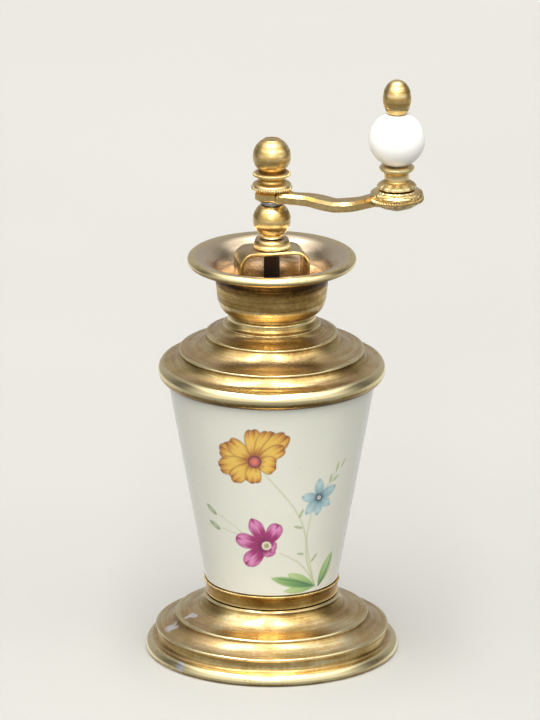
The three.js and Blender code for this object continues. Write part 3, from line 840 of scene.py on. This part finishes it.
def stretches(points):  # each stretch's two ends, with the points before and after it
    p = [np.array(q, float) for q in points]
    for k in range(len(p) - 1):
        yield p[max(k - 1, 0)], p[k], p[k + 1], p[min(k + 2, len(p) - 1)]


stemSteps = 11  # straight bits in each stretch of a stem


def stem(painting, points, width, colour, opacity=0.85):
    # A smooth line through places on the body, thinner towards its end
    distance = np.full(len(painting.across), 9.0)
    for k, places in enumerate(stretches([onBody(*p) for p in points])):
        for u in np.linspace(0, 1, stemSteps + 1)[:-1]:
            a = onCurve(*places, u)
            span = onCurve(*places, u + 1 / stemSteps) - a
            t = ((painting.across - a[0]) * span[0] + (painting.up - a[1]) * span[1])
            t = np.clip(t / max(span @ span, 1e-9), 0, 1)
            gone = (k + u) / (len(points) - 1)
            d = np.hypot(painting.across - a[0] - t * span[0], painting.up - a[1] - t * span[1])
            distance = np.minimum(distance, d - width * (0.6 - 0.25 * gone))
    painting.lay(soft(distance, 0.16) * opacity, np.array(colour[:3]))


paints = {name: linear(*colour) for name, colour in {
    "stem": (184, 190, 142), "leafPale": (186, 204, 148), "leafLight": (150, 182, 116),
    "leafMid": (104, 148, 86), "leafDark": (58, 100, 84), "bud": (178, 190, 152),
    "budDark": (130, 146, 112), "budPale": (188, 196, 146),
    "yellow": (224, 184, 82), "amber": (202, 144, 58), "ochre": (178, 114, 48),
    "umber": (138, 80, 38), "wine": (112, 48, 58), "coral": (214, 120, 88),
    "rose": (196, 96, 104), "magenta": (156, 38, 106), "pink": (210, 132, 180),
    "plum": (104, 16, 72), "cream": (232, 226, 208), "olive": (150, 136, 92),
    "skyLight": (184, 208, 208), "sky": (138, 170, 178), "slate": (62, 84, 98),
}.items()}

orangeFlower = {
    "centre": (-10.6, 62.3), "ring": 1.95, "heart": 0.75,
    # tip (degrees, height), half width, streak phase
    "petals": [((-33.0, 65.6), 2.9, 0.4), ((-26.5, 68.0), 2.5, 1.9), ((-11.0, 72.3), 2.6, 1.1),
               ((0.5, 71.6), 3.0, 0.2), ((9.0, 70.6), 2.8, 1.2), ((7.5, 66.8), 2.2, 2.4),
               ((-35.0, 59.6), 2.9, 0.9), ((-26.4, 56.0), 2.5, 2.6), ((2.8, 61.0), 2.9, 0.6),
               ((-12.5, 55.6), 2.4, 0.3)],
}
pinkFlower = {
    "centre": (-3.9, 36.5), "eye": 1.3, "heart": 0.75,
    # tip (degrees, height), half width, how blunt the tip is
    "petals": [((4.6, 43.2), 2.2, 0.35), ((-14.6, 44.7), 2.1, 0.85), ((-27.2, 38.2), 2.3, 0.4),
               ((-20.9, 30.3), 2.45, 0.45), ((-0.8, 33.2), 1.8, 0.4), ((3.4, 35.6), 1.9, 0.4)],
}
blueFlower = {
    "centre": (33.3, 50.1), "eye": 0.8, "half": 1.55,
    "tips": [(20.0, 51.0), (32.3, 56.0), (47.0, 52.6), (43.5, 47.0), (33.0, 44.6), (23.8, 45.5)],
}


def paintStemsAndLeaves(p):
    root = (39.3, 22.4)
    stem(p, [root, (28.5, 31), (25.4, 38.7), (18.6, 45.6), (8, 52), (-4.3, 58.5)], 0.36, paints["stem"])
    stem(p, [root, (31.5, 30), (26.6, 38), (28.6, 45.5)], 0.34, paints["stem"])
    stem(p, [root, (31.5, 26.6), (20.5, 31), (6.2, 34.1)], 0.34, paints["stem"])
    stem(p, [(-18, 39.0), (-30, 42.3), (-41.5, 44.6)], 0.3, paints["stem"], 0.6)
    stem(p, [(-18, 38.4), (-30, 39.8), (-40.5, 40.4)], 0.3, paints["stem"], 0.6)
    stem(p, [(38, 53), (43, 56), (48, 58.5)], 0.25, paints["stem"], 0.45)
    buds = [((-51, 46.6), (-42, 44.0), 0.8), ((-50.5, 41.6), (-40.5, 39.7), 0.85),
            ((22.0, 47.3), (19.4, 44.6), 0.38), ((15.8, 42.2), (22.5, 41.4), 0.4),
            ((19.4, 33.7), (25.2, 33.2), 0.38), ((37.2, 32.8), (32.4, 30.4), 0.36)]
    paleBuds = [((41.0, 53.6), (41.6, 56.6), 0.5), ((42.5, 54.2), (48.5, 55.6), 0.45),
                ((45.5, 56.6), (46.6, 60.0), 0.4), ((49.5, 57.6), (53.2, 60.2), 0.36)]
    green = shade((0, paints["budDark"]), (0.5, paints["bud"]), (1, paints["budDark"]))
    pale = shade((0, paints["bud"]), (1, paints["budPale"]))
    for shapes, colours in ((buds, green), (paleBuds, pale)):
        for rootOfBud, tip, half in shapes:
            petal(p, onBody(*rootOfBud), onBody(*tip), half, colours, widest=0.5, point=0.7)
    leaf = shade((0, paints["leafDark"]), (0.5, paints["leafMid"]), (1, paints["leafLight"]))
    paleLeaf = shade((0, paints["leafMid"]), (0.4, paints["leafLight"]), (1, paints["leafPale"]))
    foot = onBody(38.8, 22.6)
    leaves = [((10.0, 22.2), 1.15, paleLeaf), ((13.0, 27.6), 1.5, paleLeaf), ((-0.8, 26.5), 1.45, leaf)]
    for tip, half, colours in leaves:
        petal(p, foot, onBody(*tip), half, colours, widest=0.6, point=0.9, streaks=0.14, streakCount=3,
              edge=paints["leafLight"], edgeWidth=0.5)
    stem(p, [(38.0, 22.7), (22, 25.0), (5.5, 26.2)], 0.32, paints["leafDark"], 0.65)
    petal(p, onBody(42.6, 22.3), onBody(54.6, 31.8), 1.75, paleLeaf, widest=0.5, point=0.9,
          streaks=0.2, streakCount=3, edge=paints["leafLight"], edgeWidth=0.4)
    stem(p, [(43.0, 22.4), (50.6, 26.6), (54.4, 31.0)], 0.5, paints["leafDark"], 0.75)


def paintOrangeFlower(p):
    centre = onBody(*orangeFlower["centre"])
    colours = shade((0, paints["umber"]), (0.22, paints["ochre"]), (0.45, paints["yellow"]),
                    (0.68, paints["yellow"]), (0.86, paints["amber"]), (1, paints["umber"]))
    for tip, half, phase in orangeFlower["petals"]:
        petal(p, centre, onBody(*tip), half, colours, widest=0.72, point=0.42, ragged=0.05, lobes=2,
              streaks=0.12, streakCount=3, edge=paints["umber"], edgeWidth=0.6, phase=phase)
    distance, angle = p.around(centre)
    ring = orangeFlower["ring"]
    glow = np.clip(1 - (distance - ring) / 1.6, 0, 1) * (0.5 + 0.5 * np.cos(angle * 13)) ** 2
    p.lay(np.where(distance < ring + 1.6, glow * 0.45, 0), np.array(paints["umber"][:3]))
    disc(p, centre, ring, paints["wine"])
    disc(p, centre, ring * 0.72, paints["rose"], 0.85)
    disc(p, centre, orangeFlower["heart"], paints["coral"])
    dots(p, centre, ring * 0.86, 11, 0.2, paints["umber"])


def paintPinkFlower(p):
    centre = onBody(*pinkFlower["centre"])
    colours = shade((0, paints["plum"]), (0.46, paints["magenta"]), (0.72, paints["pink"]),
                    (0.84, paints["pink"]), (1, paints["magenta"]))
    for tip, half, point in pinkFlower["petals"]:
        petal(p, centre, onBody(*tip), half, colours, widest=0.7, point=point, ragged=0.04, lobes=1,
              streaks=0.14, streakCount=2, edge=paints["magenta"], edgeWidth=0.8)
    distance, angle = p.around(centre)
    shadow = np.clip(1 - (distance - pinkFlower["eye"]) / 1.8, 0, 1) * (0.5 - 0.5 * np.cos(angle))
    p.lay(np.where(distance < pinkFlower["eye"] + 1.8, shadow * 0.85, 0), np.array(paints["plum"][:3]))
    disc(p, centre, pinkFlower["eye"], paints["cream"])
    disc(p, centre, pinkFlower["heart"], paints["olive"], 0.9)
    dots(p, centre, 1.05, 9, 0.16, paints["olive"])


def paintBlueFlower(p):
    centre = onBody(*blueFlower["centre"])
    colours = shade((0, paints["slate"]), (0.3, paints["sky"]), (0.8, paints["skyLight"]), (1, paints["sky"]))
    for tip in blueFlower["tips"]:
        petal(p, centre, onBody(*tip), blueFlower["half"], colours, widest=0.5, point=0.85,
              streaks=0.12, streakCount=2, edge=paints["sky"], edgeWidth=0.3)
    disc(p, centre, blueFlower["eye"] + 0.7, paints["slate"], 0.45, 0.4)
    disc(p, centre, blueFlower["eye"] + 0.2, paints["slate"], 0.9)
    disc(p, centre, blueFlower["eye"] * 0.7, paints["cream"])
    disc(p, centre, 0.24, paints["slate"])


def paintBody(mesh):
    count = len(mesh.vertices)
    co = np.zeros(count * 3)
    mesh.vertices.foreach_get("co", co)
    co = co.reshape(-1, 3) / mm
    radius = np.hypot(co[:, 0], co[:, 1])
    angle = np.arctan2(co[:, 1], co[:, 0]) - math.radians(frontAngle)
    angle = (angle + math.pi) % (2 * math.pi) - math.pi
    outer = (np.abs(radius - bodyRadius(co[:, 2])) < 0.05) & (np.abs(angle) < math.radians(body["frontHalf"]))
    colour = np.ones((count, 4))
    cover = np.zeros(count)
    p = Painting(angle[outer] * radius[outer], co[outer, 2])
    paintStemsAndLeaves(p)
    paintOrangeFlower(p)
    paintPinkFlower(p)
    paintBlueFlower(p)
    colour[outer, :3] = p.colour
    cover[outer] = p.cover * 0.96
    layer = mesh.attributes.new("paint", "FLOAT_COLOR", "POINT")
    layer.data.foreach_set("color", colour.reshape(-1).astype(np.float32))
    addValues(mesh, "paintCover", cover)


bodyMesh = turnedMesh("porcelainBody", bodyOutline(bottomOf("porcelain_body")), bottomOf("porcelain_body"),
                      angles=bodyAngles(), fillet=0.3, longest=body["row"])
paintBody(bodyMesh)
finished(bodyMesh, "housing", paintedPorcelain, ["porcelain_body"])
print("porcelain body painted,", len(bodyMesh.polygons), "faces")


# Bridge: strap, rivets, milled bushing and ball

strap = {"halfSpan": 9.75, "width": 10.0, "thickness": 1.0, "corner": 4.0, "footReach": 5.4, "bevel": 0.22}


def bandMesh(name, outer, width, bevel, angle):
    # A flat outline in the XZ plane, given width along Y, its edges bevelled, then turned about Z
    work = bmesh.new()
    front = [work.verts.new((x * mm, -width / 2 * mm, z * mm)) for x, z in outer]
    face = work.faces.new(front)
    made = bmesh.ops.extrude_face_region(work, geom=[face])
    moved = [v for v in made["geom"] if isinstance(v, bmesh.types.BMVert)]
    bmesh.ops.translate(work, verts=moved, vec=(0, width * mm, 0))
    bmesh.ops.recalc_face_normals(work, faces=work.faces)
    rims = [e for e in work.edges if abs(e.verts[0].co.y - e.verts[1].co.y) < 1e-6]
    bmesh.ops.bevel(work, geom=rims, offset=bevel * mm, segments=3, profile=0.5, affect="EDGES")
    bmesh.ops.transform(work, matrix=Matrix.Rotation(math.radians(angle), 4, "Z"), verts=work.verts)
    bmesh.ops.triangulate(work, faces=[f for f in work.faces if len(f.verts) > 4])
    return meshFrom(work, name)


def strapOutline():
    low, high = bottomOf("bridge_strap"), topOf("bridge_strap")
    corner, thick, out, reach = strap["corner"], strap["thickness"], strap["halfSpan"], strap["footReach"]
    bend = np.radians(np.linspace(0, 90, 13))
    points = [(reach, low), (out, low)]
    points += [(out - corner + corner * math.cos(a), high - corner + corner * math.sin(a)) for a in bend]
    points += [(-x, z) for x, z in reversed(points)]
    inner = corner - thick
    inside = [(-reach, low + thick), (-out + thick, low + thick)]
    inside += [(-out + corner - inner * math.cos(a), high - corner + inner * math.sin(a)) for a in bend]
    inside += [(-x, z) for x, z in reversed(inside)]
    return points + inside


finished(bandMesh("strap", strapOutline(), strap["width"], strap["bevel"], strapAngle),
         "housing", strapBrass, ["bridge_strap"])

for side in ("left", "right"):
    node = "bridge_rivet_" + side
    head = heightOf(node)
    rivet = Outline(0.0, 0.0).line(1.1, 0.0).line(1.1, 0.5).line(0.7, 0.5).line(0.7, head - 0.8)
    rivet.line(1.5, head - 0.8).curve(1.45, head, 0.0, head, 8)
    turnedPiece("rivet" + side.title(), node, rivet, "housing", brightBrass, "bright_brass", closed=False,
                segments=40, fillet=0.08, longest=0.4, centre=centreOf(node).xy / mm)

bushing = {"bore": 3.0, "neck": 3.65, "flange": 5.05, "flangeTop": 2.55}


def bushingOutline():
    top = heightOf("bridge_bushing")
    o = Outline(bushing["bore"], 0.0)
    o.line(bushing["neck"], 0.0).line(bushing["neck"], 1.6)
    o.line(bushing["flange"], 1.6).line(bushing["flange"], bushing["flangeTop"])
    o.line(bushing["flange"] - 0.15, bushing["flangeTop"] + 0.1)
    o.curve(4.95, top - 0.1, 3.6, top, 10)
    return o.line(bushing["bore"], top)


bushingMilling = {"radius": 5.0, "height": 116.78, "teeth": 58, "depth": 0.4, "width": 0.42, "length": 0.95}
turnedPiece("bushing", "bridge_bushing", bushingOutline(), "housing", bushingBrass, "bright_brass",
            segments=112, fillet=0.15, longest=0.4)
milledRing("bushingMilling", bushingMilling, "housing")

ball = {"bore": 3.0, "neck": 3.3, "radius": 5.2, "centre": 4.9}


def ballOutline():
    top = heightOf("bridge_ball")
    o = Outline(ball["bore"], 0.0)
    o.line(ball["neck"] + 0.2, 0.0).line(ball["neck"], 0.45)
    o.arc(0.0, ball["centre"], ball["radius"], -50, 52, 26)
    return o.line(ball["bore"], top)


turnedPiece("bridgeBall", "bridge_ball", ballOutline(), "housing", brightBrass, "bright_brass",
            segments=112, fillet=0.15, longest=0.4)
print("bridge made")


# Crank: collar, arm with its cusp, end boss and rosette, all on the crank body

collarHeight = heightOf("thrust_collar")
thrustCollar = Outline(2.4, 0.0).line(3.1, 0.0).line(3.1, collarHeight).line(2.4, collarHeight)
turnedPiece("thrustCollar", "thrust_collar", thrustCollar, "crank", brightSteel, "steel",
            segments=72, fillet=0.2, longest=0.3)

crank = {
    "thickness": 2.7, "chamfer": 0.9, "chamferDrop": 0.75, "under": 0.35, "end": 4.6,
    "outerCusp": (18.4, -10.3), "innerCusp": (18.9, -4.4), "pinBore": 1.9,
    "hub": [(4.7, 2.0), (3.0, 3.5), (-3.0, 3.5), (-4.3, 2.2), (-4.3, -2.2), (-3.0, -3.6), (1.3, -3.8)],
}


def through(points, steps=14):
    # A smooth line through a few points, all but the last
    return [tuple(onCurve(*places, t)) for places in stretches(points)
            for t in np.linspace(0, 1, steps, endpoint=False)]


def armOutline():
    outer, inner, end = crank["outerCusp"], crank["innerCusp"], crank["end"]
    points = through([(1.9, -4.6), (9.5, -5.6), (14.4, -8.4), outer])
    points += through([outer, (21.8, -9.7), (25.0, -7.8), (29.5, -2.9)])
    turn = np.radians(np.linspace(-75, 75, 22))
    points += [(crankRadius - 0.5 + end * math.cos(a), end * math.sin(a)) for a in turn]
    points += through([(29.5, 2.5), (26.3, 0.7), (23.9, -2.2), inner])
    points += through([inner, (15.7, -2.3), (12.0, -0.8), (6.9, -0.5)])
    return points + [(6.9, -0.5)] + crank["hub"]


def armMesh():
    low = bottomOf("crank_arm") + 0.3
    high = low + crank["thickness"]
    work = bmesh.new()
    outline = [work.verts.new((x * mm, y * mm, (high - crank["chamferDrop"]) * mm)) for x, y in armOutline()]
    top = work.faces.new(outline)
    made = bmesh.ops.extrude_face_region(work, geom=[top])
    lower = [v for v in made["geom"] if isinstance(v, bmesh.types.BMVert)]
    bottom = next(f for f in made["geom"] if isinstance(f, bmesh.types.BMFace))
    depth = crank["thickness"] - crank["chamferDrop"] - crank["under"]
    bmesh.ops.translate(work, verts=lower, vec=(0, 0, -depth * mm))
    for face, inset, rise in ((top, crank["chamfer"], crank["chamferDrop"]), (bottom, 0.35, -crank["under"])):
        bmesh.ops.inset_region(work, faces=[face], thickness=inset * mm, use_even_offset=True)
        bmesh.ops.translate(work, verts=face.verts, vec=(0, 0, rise * mm))
    bmesh.ops.recalc_face_normals(work, faces=work.faces)
    bmesh.ops.triangulate(work, faces=[f for f in work.faces if len(f.verts) > 4])
    bmesh.ops.transform(work, matrix=Matrix.Rotation(math.radians(crankAngle), 4, "Z"), verts=work.verts)
    return meshFrom(work, "crankArm")


finished(armMesh(), "crank", formedBrass, ["crank_arm"], sharpAngle=14)

boss = Outline(crank["pinBore"], 0.0).line(4.3, 0.0).curve(4.9, 0.1, 5.3, 0.5, 4)
boss.curve(6.2, 1.0, 6.85, 1.6, 6).line(6.9, 1.8).line(crank["pinBore"], 1.8)


def flutes(r, z, around):
    depth = np.clip((r - 4.2) / 2.6, 0, 1) * 0.28
    return r - depth * np.abs(np.sin(around * 11)), z


finished(turnedMesh("crankBoss", boss, bottomOf("crank_arm"), segments=176, fillet=0.15, longest=0.3,
                    centre=knobPlace, relief=flutes), "crank", strapBrass)

rosette = {"radius": 7.3, "bore": 1.9, "petals": 8, "engraving": 0.22}


def rosetteOutline():
    top = heightOf("knob_rosette")
    o = Outline(rosette["bore"], 0.1)
    o.line(6.5, 0.1).line(6.95, 0.3).line(7.0, 0.9)
    o.curve(7.35, 1.1, 7.3, 1.6, 4)
    o.curve(7.2, 2.5, 5.9, 2.85, 10)
    o.line(5.6, top)
    return o.line(rosette["bore"], top)


def engraved(r, z, around):
    # Ovals with pointed leaves between them, cut into the sloping band
    low = bottomOf("knob_rosette") + 0.9
    onBand = np.clip((z - low) / 0.4, 0, 1) * np.clip((r - 5.2) / 0.5, 0, 1)
    step = 2 * math.pi / rosette["petals"]
    phase = (around - math.radians(frontAngle)) % step - step / 2
    side = np.abs(phase) * 6.7
    middle = (z - low) - 0.95
    oval = np.abs(np.hypot(side / 1.75, middle / 0.62) - 1)
    leaf = np.abs(side - 2.45 + 0.4 * middle)
    cut = np.exp(-(oval / 0.2) ** 2) + 0.8 * np.exp(-(leaf / 0.22) ** 2)
    swell = 0.16 * np.exp(-(np.hypot(side / 1.5, middle / 0.5)) ** 2)
    return r - rosette["engraving"] * np.clip(cut, 0, 1) * onBand + swell * onBand, z


turnedPiece("rosette", "knob_rosette", rosetteOutline(), "crank", formedBrass, "bright_brass", sharpAngle=60,
            segments=256, fillet=0.12, longest=0.13, centre=knobPlace, relief=engraved)
rosetteRope = {"radius": 7.1, "height": 132.0, "teeth": 60, "depth": 0.85, "width": 0.55, "length": 1.5,
               "lean": 34}
milledRing("rosetteRope", rosetteRope, "crank", centre=knobPlace)

pinHead = heightOf("knob_pin")
pin = Outline(0.0, 0.0).curve(2.2, 0.0, 2.6, 0.9, 8).line(1.5, 0.9).line(1.5, pinHead).line(0.0, pinHead)
turnedPiece("knobPin", "knob_pin", pin, "crank", brightSteel, "steel", closed=False,
            segments=48, fillet=0.1, centre=knobPlace)
print("crank made")


# Knob: stepped collar, porcelain ball and egg-shaped top, on their own body

knob = {"bore": 1.9, "tier": 5.5, "neck": 3.5, "cup": 4.8, "ball": 7.8, "egg": 3.9}


def collarOutline():
    top = heightOf("knob_collar")
    o = Outline(knob["bore"], 0.0)
    o.line(5.1, 0.0).line(knob["tier"], 0.35).line(knob["tier"] - 0.1, 0.95)
    o.curve(4.6, 1.5, knob["neck"] + 0.1, 2.15, 8)
    o.line(knob["neck"], 2.4).curve(knob["neck"] - 0.15, 3.6, knob["neck"], 4.4, 6)
    o.curve(knob["neck"] + 0.3, 5.0, knob["cup"], 5.3, 6)
    o.line(knob["cup"] + 0.05, 6.0).line(4.3, top)
    return o.line(knob["bore"], top)


def scallops(r, z, around):
    low = bottomOf("knob_collar")
    onTier = np.clip((r - 3.9) / 1.2, 0, 1) * np.clip((low + 2.2 - z) / 0.6, 0, 1)
    return r - 0.22 * onTier * np.abs(np.sin(around * 7)) ** 2.5, z


turnedPiece("knobCollar", "knob_collar", collarOutline(), "knob", brightBrass, "bright_brass",
            segments=168, fillet=0.15, longest=0.25, centre=knobPlace, relief=scallops)

ballHeight = heightOf("knob_ball")
ballCentre = centreOf("knob_ball").z / mm - bottomOf("knob_ball")
lowAngle = math.degrees(math.asin(-ballCentre / knob["ball"]))
highAngle = math.degrees(math.asin((ballHeight - ballCentre) / knob["ball"]))
knobBall = Outline(knob["bore"], 0.0).arc(0.0, ballCentre, knob["ball"], lowAngle, highAngle, 48)
knobBall.line(knob["bore"], ballHeight)
turnedPiece("knobBall", "knob_ball", knobBall, "knob", whitePorcelain, "white_porcelain",
            segments=144, fillet=0.2, longest=0.5, centre=knobPlace)


def eggOutline():
    top = heightOf("knob_finial")
    o = Outline(0.0, 2.9).line(knob["bore"], 2.9).line(knob["bore"], 0.0).line(2.6, 0.0)
    o.wave((3.3, 0.8), (knob["egg"], 2.2), (knob["egg"], 4.2), 12)
    return o.wave((knob["egg"], 7.1), (2.3, top), (0.0, top), 20)


turnedPiece("knobTop", "knob_finial", eggOutline(), "knob", brightBrass, "bright_brass", closed=False,
            segments=112, fillet=0.15, longest=0.3, centre=knobPlace)
print("knob made")


# Adjusting finial on its own body

finial = {"bore": 2.25, "flange": 5.4, "waist": 3.6, "ring": 4.9, "ball": 5.25, "ballCentre": 9.3}


def finialOutline():
    centre = finial["ballCentre"]
    top = centre + 4.9
    capAngle = math.degrees(math.asin((top - centre) / finial["ball"]))
    o = Outline(0.0, 8.0).line(finial["bore"], 8.0).line(finial["bore"], 0.0)
    o.line(4.6, 0.0).line(5.2, 0.35).line(finial["flange"], 0.75).line(finial["flange"] - 0.1, 1.35)
    o.curve(4.9, 1.75, 4.2, 1.95, 5).curve(finial["waist"], 2.2, finial["waist"], 2.8, 6)
    o.curve(3.8, 3.3, 4.65, 3.7, 6)
    o.line(finial["ring"], 3.85).line(finial["ring"], 4.6).line(4.4, 4.9).line(3.55, 5.1)
    o.arc(0.0, centre, finial["ball"], -48, capAngle - 6, 34)
    o.curve(2.4, top + 0.05, 1.6, top, 4)
    return o.line(0.0, top)


finialRing = {"radius": 4.95, "height": 137.2, "teeth": 44, "depth": 0.55, "width": 0.52, "length": 0.9}
finialFlange = {"radius": 5.3, "height": 133.5, "teeth": 46, "depth": 0.65, "width": 0.52, "length": 0.9,
                "tilt": -30}
turnedPiece("finial", "adjusting_finial", finialOutline(), "adjuster", brightBrass, "bright_brass",
            closed=False, segments=128, fillet=0.14, longest=0.3)
milledRing("finialRing", finialRing, "adjuster")
milledRing("finialFlange", finialFlange, "adjuster")
print("adjusting finial made")


# Finishes for the carried-over pieces inside

carriedOver = {
    "lower_gasket": pressedCork, "upper_gasket": pressedCork, "inner_tube": tinnedSteel,
    "burr_cap_nut": formedBrass, "female_burr": castIron, "male_burr": castIron,
    "burr_washer": brightSteel, "burr_nut": brightSteel, "adjusting_spring": brightSteel,
    "lower_guide": brightSteel, "feed_plate": strapBrass, "spindle": blackSteel,
}
for node, material in carriedOver.items():
    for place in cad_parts[node].material_slots:
        place.material = material
print("inner pieces finished")


# Pale floor and backdrop, soft studio light, camera

stage = {
    "floorRadius": 4.6, "wallRadius": 6.0, "wallHeight": 4.5, "floorColour": linear(172, 171, 167),
    "columns": 96,
}


def stageMesh(name, profile, material):
    mesh = bpy.data.meshes.new(name)
    columns = stage["columns"]
    points = [(r * math.cos(a), r * math.sin(a), z) for r, z in profile
              for a in np.linspace(0, 2 * math.pi, columns, endpoint=False)]
    faces = [(i * columns + j, i * columns + (j + 1) % columns,
              (i + 1) * columns + (j + 1) % columns, (i + 1) * columns + j)
             for i in range(len(profile) - 1) for j in range(columns)]
    mesh.from_pydata(points, [], faces)
    mesh.shade_smooth()
    mesh.materials.append(material)
    thing = bpy.data.objects.new(name, mesh)
    bpy.context.scene.collection.objects.link(thing)
    return thing


def floorMaterial():
    material, t = newMaterial("paleFloor")
    tone = t.spread(t.noise(t.place(), 6.0, 2.0), 0.3, 0.7, 0.985, 1.015)
    colour = t.tinted(stage["floorColour"], tone)
    t.surface({
        "Base Color": colour, "Roughness": 0.75, "Specular IOR Level": 0.2,
    })
    return material


paleFloor = floorMaterial()
floor = stageMesh("floor", [(0.0, 0.0), (0.5, 0.0), (stage["floorRadius"], 0.0)], paleFloor)
floor.visible_glossy = False  # the studio's own light gives the reflections
floor.visible_diffuse = False
rise = stage["wallRadius"] - stage["floorRadius"]
sweep = [(stage["floorRadius"] + rise * math.sin(a), rise * (1 - math.cos(a)))
         for a in np.radians(np.linspace(0, 90, 14))]
backdrop = stageMesh("backdrop", sweep + [(stage["wallRadius"], stage["wallHeight"])], paleFloor)
for ray in ("visible_diffuse", "visible_glossy", "visible_transmission", "visible_shadow"):
    setattr(backdrop, ray, False)

# Where an edge is given as two numbers, they are its place and how soft it is
studio = {
    "overheadTilt": 72.0, "overheadEdge": (0.45, 0.7), "overhead": 1.0,
    "wallHalf": (84.0, -30.0), "wallLow": (-9.0, 2.0), "wallHigh": (62.0, -15.0), "wall": 0.88,
    # long lamps overhead that run towards the front: place to the right, half width, strength
    "lamps": [(-0.32, 0.07, 12.0), (0.16, 0.065, 12.0)], "lampSoft": 0.03,
    "lampLow": (14.0, 4.0), "lampBack": (-0.3, 0.1), "leastHeight": 0.02,
    # the ground's light far below and near the horizon, and the elevations between which it changes
    "ground": (0.06, 0.4), "groundDeep": -65.0, "groundNear": -12.0, "groundEnd": -8.0,
    "rear": 0.36, "rearFrom": -0.1, "rearTo": -0.9, "room": 0.05, "colour": linear(254, 253, 250),
}


def studioLight():
    world = bpy.data.worlds.new("studio")
    bpy.context.scene.world = world
    world.use_nodes = True
    t = NodeTree(world.node_tree)
    direction = t.add("ShaderNodeTexCoord").outputs["Generated"]
    turned = t.add("ShaderNodeVectorRotate", {"Vector": direction, "Angle": math.radians(-frontAngle)},
                   rotation_type="Z_AXIS").outputs[0]  # the front is now +X
    x, y, z = t.parts(turned)
    azimuth = t.times(t.calculate("ARCTAN2", y, x), 180 / math.pi)
    elevation = t.times(t.calculate("ARCSINE", z), 180 / math.pi)
    tilt = math.radians(studio["overheadTilt"])
    facing = t.plus(t.times(x, math.cos(tilt)), t.times(z, math.sin(tilt)))
    light = t.spread(facing, *studio["overheadEdge"], 0.0, studio["overhead"], smooth=True)
    wall = t.times(t.edge(elevation, *studio["wallLow"]), t.edge(elevation, *studio["wallHigh"]))
    aside = t.edge(t.calculate("ABSOLUTE", azimuth), *studio["wallHalf"], studio["wall"])
    light = t.plus(light, t.times(wall, aside))
    height = t.calculate("MAXIMUM", z, studio["leastHeight"])
    across = t.calculate("DIVIDE", y, height)
    along = t.times(t.edge(elevation, *studio["lampLow"]),
                    t.edge(t.calculate("DIVIDE", x, height), *studio["lampBack"]))
    for middle, half, strength in studio["lamps"]:
        away = t.calculate("ABSOLUTE", t.calculate("SUBTRACT", across, middle))
        lamp = t.edge(away, half, -studio["lampSoft"], strength)
        light = t.plus(light, t.times(lamp, along))
    ground = t.spread(elevation, studio["groundDeep"], studio["groundNear"], *studio["ground"])
    ground = t.times(ground, t.spread(elevation, studio["groundEnd"], studio["groundNear"], smooth=True))
    behind = t.spread(x, studio["rearFrom"], studio["rearTo"], 0.0, studio["rear"], smooth=True)
    light = t.plus(light, t.plus(ground, behind))
    light = t.plus(light, studio["room"])
    background = t.add("ShaderNodeBackground", {"Color": studio["colour"], "Strength": light})
    t.add("ShaderNodeOutputWorld", {0: background.outputs[0]})


studioLight()

camera = {
    "distance": 2.700, "height": 0.957, "aimHeight": 0.08346, "aimLeft": 0.0005, "lens": 514.0,
    "sensor": 36.0, "farthest": 20.0,
}


def placeCamera():
    data = bpy.data.cameras.new("camera")
    data.lens = camera["lens"]
    data.sensor_width = camera["sensor"]
    data.clip_end = camera["farthest"]
    thing = bpy.data.objects.new("camera", data)
    bpy.context.scene.collection.objects.link(thing)
    front = math.radians(frontAngle)
    outward = Vector((math.cos(front), math.sin(front), 0))
    right = Vector((-math.sin(front), math.cos(front), 0))
    eye = outward * camera["distance"] + Vector((0, 0, camera["height"]))
    aim = Vector((0, 0, camera["aimHeight"])) - right * camera["aimLeft"]
    thing.location = eye
    thing.rotation_euler = (aim - eye).to_track_quat("-Z", "Y").to_euler()
    bpy.context.scene.camera = thing


placeCamera()
bpy.context.scene.view_settings.view_transform = "Standard"
print("stage, light and camera placed")
